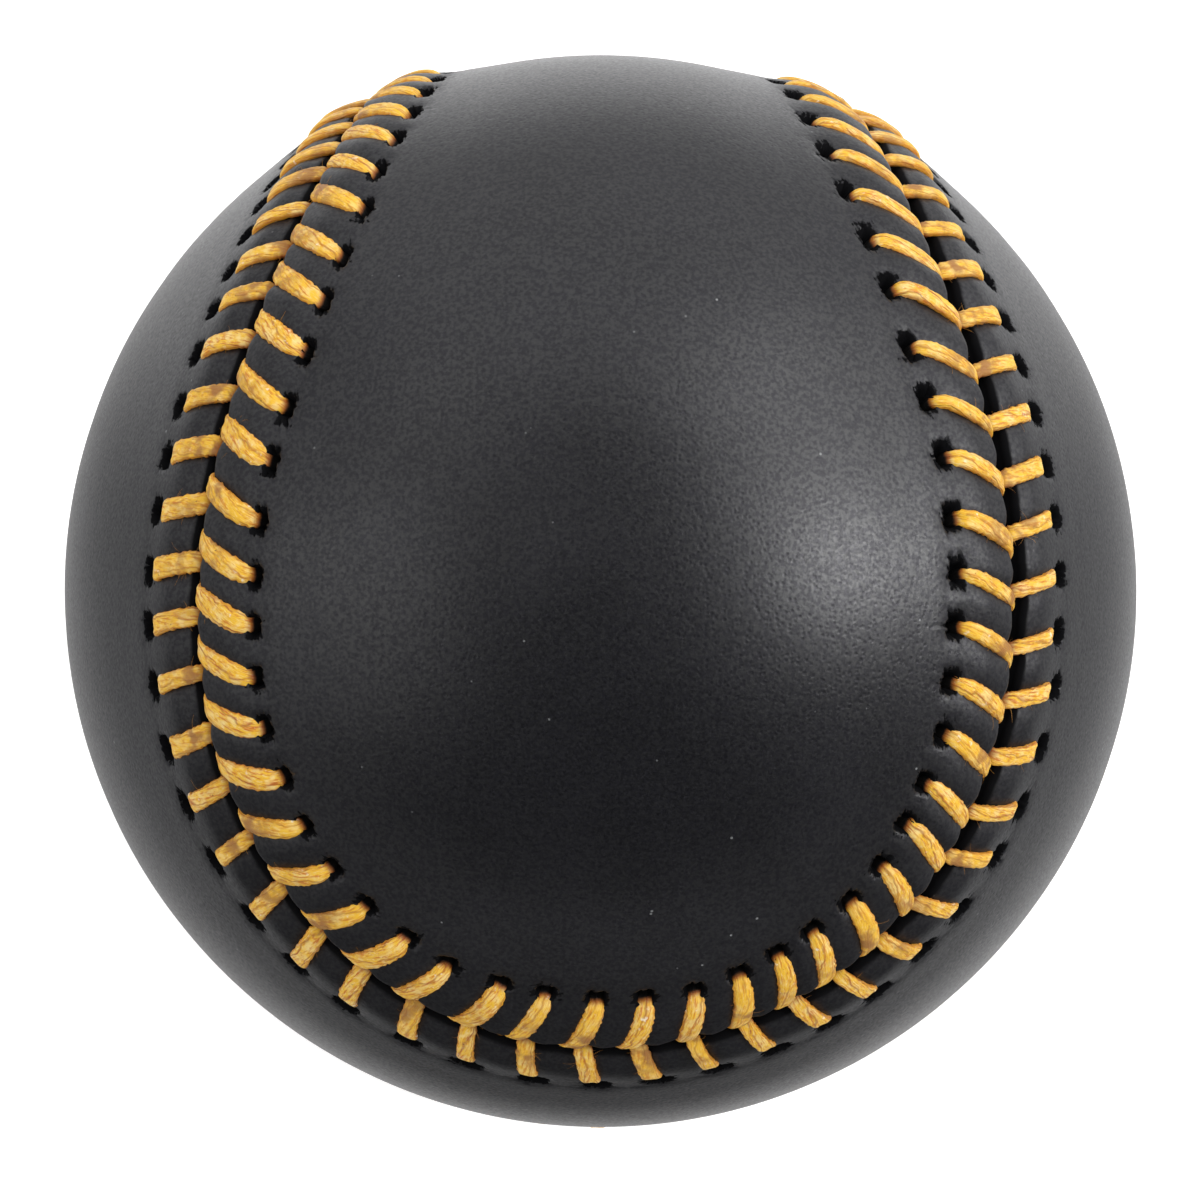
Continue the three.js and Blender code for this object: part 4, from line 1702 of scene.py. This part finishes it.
    def surroundings(self) -> None:
        """Makes the world: even soft light on the ball.

        For the rays that show the background it is a pale horizon under a dim ceiling.
        """
        world = bpy.data.worlds.new("studio_air")
        world.use_nodes = True
        tree = world.node_tree
        place = tree.nodes.new("ShaderNodeTexCoord")
        split = tree.nodes.new("ShaderNodeSeparateXYZ")
        tree.links.new(place.outputs["Generated"], split.inputs[0])
        fall = tree.nodes.new("ShaderNodeMapRange")
        fall.interpolation_type = "SMOOTHSTEP"
        ends = {"From Min": self.horizon_height[0], "From Max": self.horizon_height[1]}
        ends |= {"To Min": self.horizon, "To Max": self.zenith}
        for key, value in ends.items():
            fall.inputs[key].default_value = value
        tree.links.new(split.outputs["Z"], fall.inputs["Value"])
        pick = tree.nodes.new("ShaderNodeMix")
        pick.inputs[2].default_value = self.ambient
        tree.links.new(self.ray_share(tree, tuple(RayKind)), pick.inputs[0])
        tree.links.new(fall.outputs[0], pick.inputs[3])
        tree.links.new(pick.outputs[0], tree.nodes["Background"].inputs["Strength"])
        tree.nodes["Background"].inputs["Color"].default_value = WHITE
        bpy.context.scene.world = world

    def build(self, camera: PhotoCamera, level: float) -> None:
        """Sets the whole studio up.

        Args:
            camera: The camera that the lamps are placed by.
            level: The floor's height in millimetres.
        """
        self.floor(level)
        self.surroundings()
        for lamp in self.lamps:
            lamp.build(camera)
        bpy.context.scene.view_settings.view_transform = "Standard"


class Builder(Protocol):
    """Anything that makes one piece of the ball."""

    def build(self) -> bpy.types.Object:
        """Makes the piece's object."""


@dataclass(frozen=True)
class Piece:
    """One piece of the ball: what makes it, the node that it stands for and its slot."""

    builder: Builder
    node: str
    slot: str


@dataclass(frozen=True)
class Baseball:
    """The whole ball: its pieces, the nodes that they stand for and their finishes."""

    seam: Seam = field(default_factory=Seam)
    cup: tuple[float, float, float] = (14.25, 10.55, 0.65)
    shell: tuple[float, float, float] = (16.8, 14.5, 0.125)

    def cover(self) -> list[Piece]:
        """Lists the cover's pieces.

        Returns:
            Two panels and two threads.
        """
        lacing = Lacing(self.seam)
        panel_a = CoverPanel(
            name="leather_panel_a",
            side=Side.A,
            seam=self.seam,
            lacing=lacing,
            slit=NeedleSlit(
                behind=(0.05, 0.2), beyond=0.4, half_length=0.84, half_width=0.56, depth=1.15, tear=0.12
            ),
            crown=0.36,
            swell=0.58,
            edge_gap=0.34,
            edge_slack=0.0,
            edge_roll=0.5,
            edge_fall=0.1,
            pucker=0.08,
        )
        panel_b = CoverPanel(
            name="leather_panel_b",
            side=Side.B,
            seam=self.seam,
            lacing=lacing,
            slit=NeedleSlit(
                behind=(0.3, -0.1), beyond=0.58, half_length=0.8, half_width=0.7, depth=1.15, tear=0.08
            ),
            crown=0.3,
            swell=0.46,
            edge_gap=0.64,
            edge_slack=0.45,
            edge_roll=0.7,
            edge_fall=0.4,
            pucker=0.05,
        )
        thread_a = LaceThread("lacing_thread_a", Side.A, self.seam, lacing, seed=40)
        thread_b = LaceThread("lacing_thread_b", Side.B, self.seam, lacing, seed=60)
        return [
            Piece(panel_a, "cover_panel_a", "black_leather"),
            Piece(panel_b, "cover_panel_b", "black_leather"),
            Piece(thread_a, "lace_thread_a", "gold_thread"),
            Piece(thread_b, "lace_thread_b", "gold_thread"),
        ]

    def core(self) -> list[Piece]:
        """Lists the pieces inside the cover.

        Returns:
            The pill's pieces from the cork outwards, then the four windings.
        """
        right, up = (1.0, 0.0, 0.0), (0.0, 0.0, 1.0)
        left, down, front, back = (-1.0, 0.0, 0.0), (0.0, 0.0, -1.0), (0.0, -1.0, 0.0), (0.0, 1.0, 0.0)
        first = YarnWinding("yarn_first", 29.95, 17.05, back, 2.2, 5, 90, 0.5, 11)
        second = YarnWinding("yarn_second", 31.8, 30.2, left, 1.9, 5, 100, 0.4, 12)
        third = YarnWinding("yarn_third", 34.05, 32.05, front, 1.9, 5, 100, 0.4, 13)
        finish = YarnWinding("yarn_finish", 34.9, 34.3, right, 1.4, 7, 110, 0.2, 14)
        return [
            Piece(CorkCore(), "cork_core", "cork"),
            Piece(RubberShell("cup_upper", *self.cup, up), "black_cup_upper", "black_rubber"),
            Piece(RubberShell("cup_lower", *self.cup, down), "black_cup_lower", "black_rubber"),
            Piece(CupGasket(), "cup_gasket", "red_rubber"),
            Piece(RubberShell("shell_right", *self.shell, right), "red_shell_right", "red_rubber"),
            Piece(RubberShell("shell_left", *self.shell, left), "red_shell_left", "red_rubber"),
            Piece(first, "first_winding", "grey_wool"),
            Piece(second, "second_winding", "white_wool"),
            Piece(third, "third_winding", "grey_wool"),
            Piece(finish, "finish_winding", "white_cotton"),
        ]

    def finishes(self) -> dict[str, bpy.types.Material]:
        """Makes one material for each of the slots that the pieces name.

        Returns:
            The materials by slot.
        """
        grey = YarnFinish("grey_wool_yarn", paint(141, 138, 134), paint(86, 83, 80), paint(176, 172, 166))
        white = YarnFinish(
            "white_wool_yarn", paint(222, 216, 203), paint(158, 150, 136), paint(240, 236, 226)
        )
        cotton = YarnFinish(
            "white_cotton_yarn", paint(236, 230, 215), paint(172, 164, 148), paint(246, 243, 234)
        )
        black = RubberFinish("black_cup_rubber", paint(30, 30, 30), paint(66, 65, 63))
        red = RubberFinish("red_shell_rubber", paint(160, 54, 43), paint(186, 108, 92))
        return {
            "black_leather": LeatherFinish().material(),
            "gold_thread": ThreadFinish().material(),
            "grey_wool": grey.material(),
            "white_wool": white.material(),
            "white_cotton": cotton.material(),
            "black_rubber": black.material(),
            "red_rubber": red.material(),
            "cork": CorkFinish().material(),
        }

    def build(self) -> None:
        """Builds every piece, dresses it and sets it in the place of its node."""
        materials = self.finishes()
        for piece in self.core() + self.cover():
            made = piece.builder.build()
            made.data.materials.append(materials[piece.slot])
            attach(made, BODY)
            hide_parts(piece.node)
            made.data.calc_loop_triangles()
            LOG.info("%s stands for %s: %d triangles", made.name, piece.node, len(made.data.loop_triangles))


def main() -> None:
    """Builds the ball in its frame, then the camera and the studio round it."""
    logging.basicConfig(level=logging.INFO, format="%(name)s: %(message)s")
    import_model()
    Baseball().build()
    camera = PhotoCamera()
    camera.build()
    bpy.context.view_layer.update()
    visual_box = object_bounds()
    Studio().build(camera, visual_box[0].z / MM)


if __name__ == "__main__":
    main()
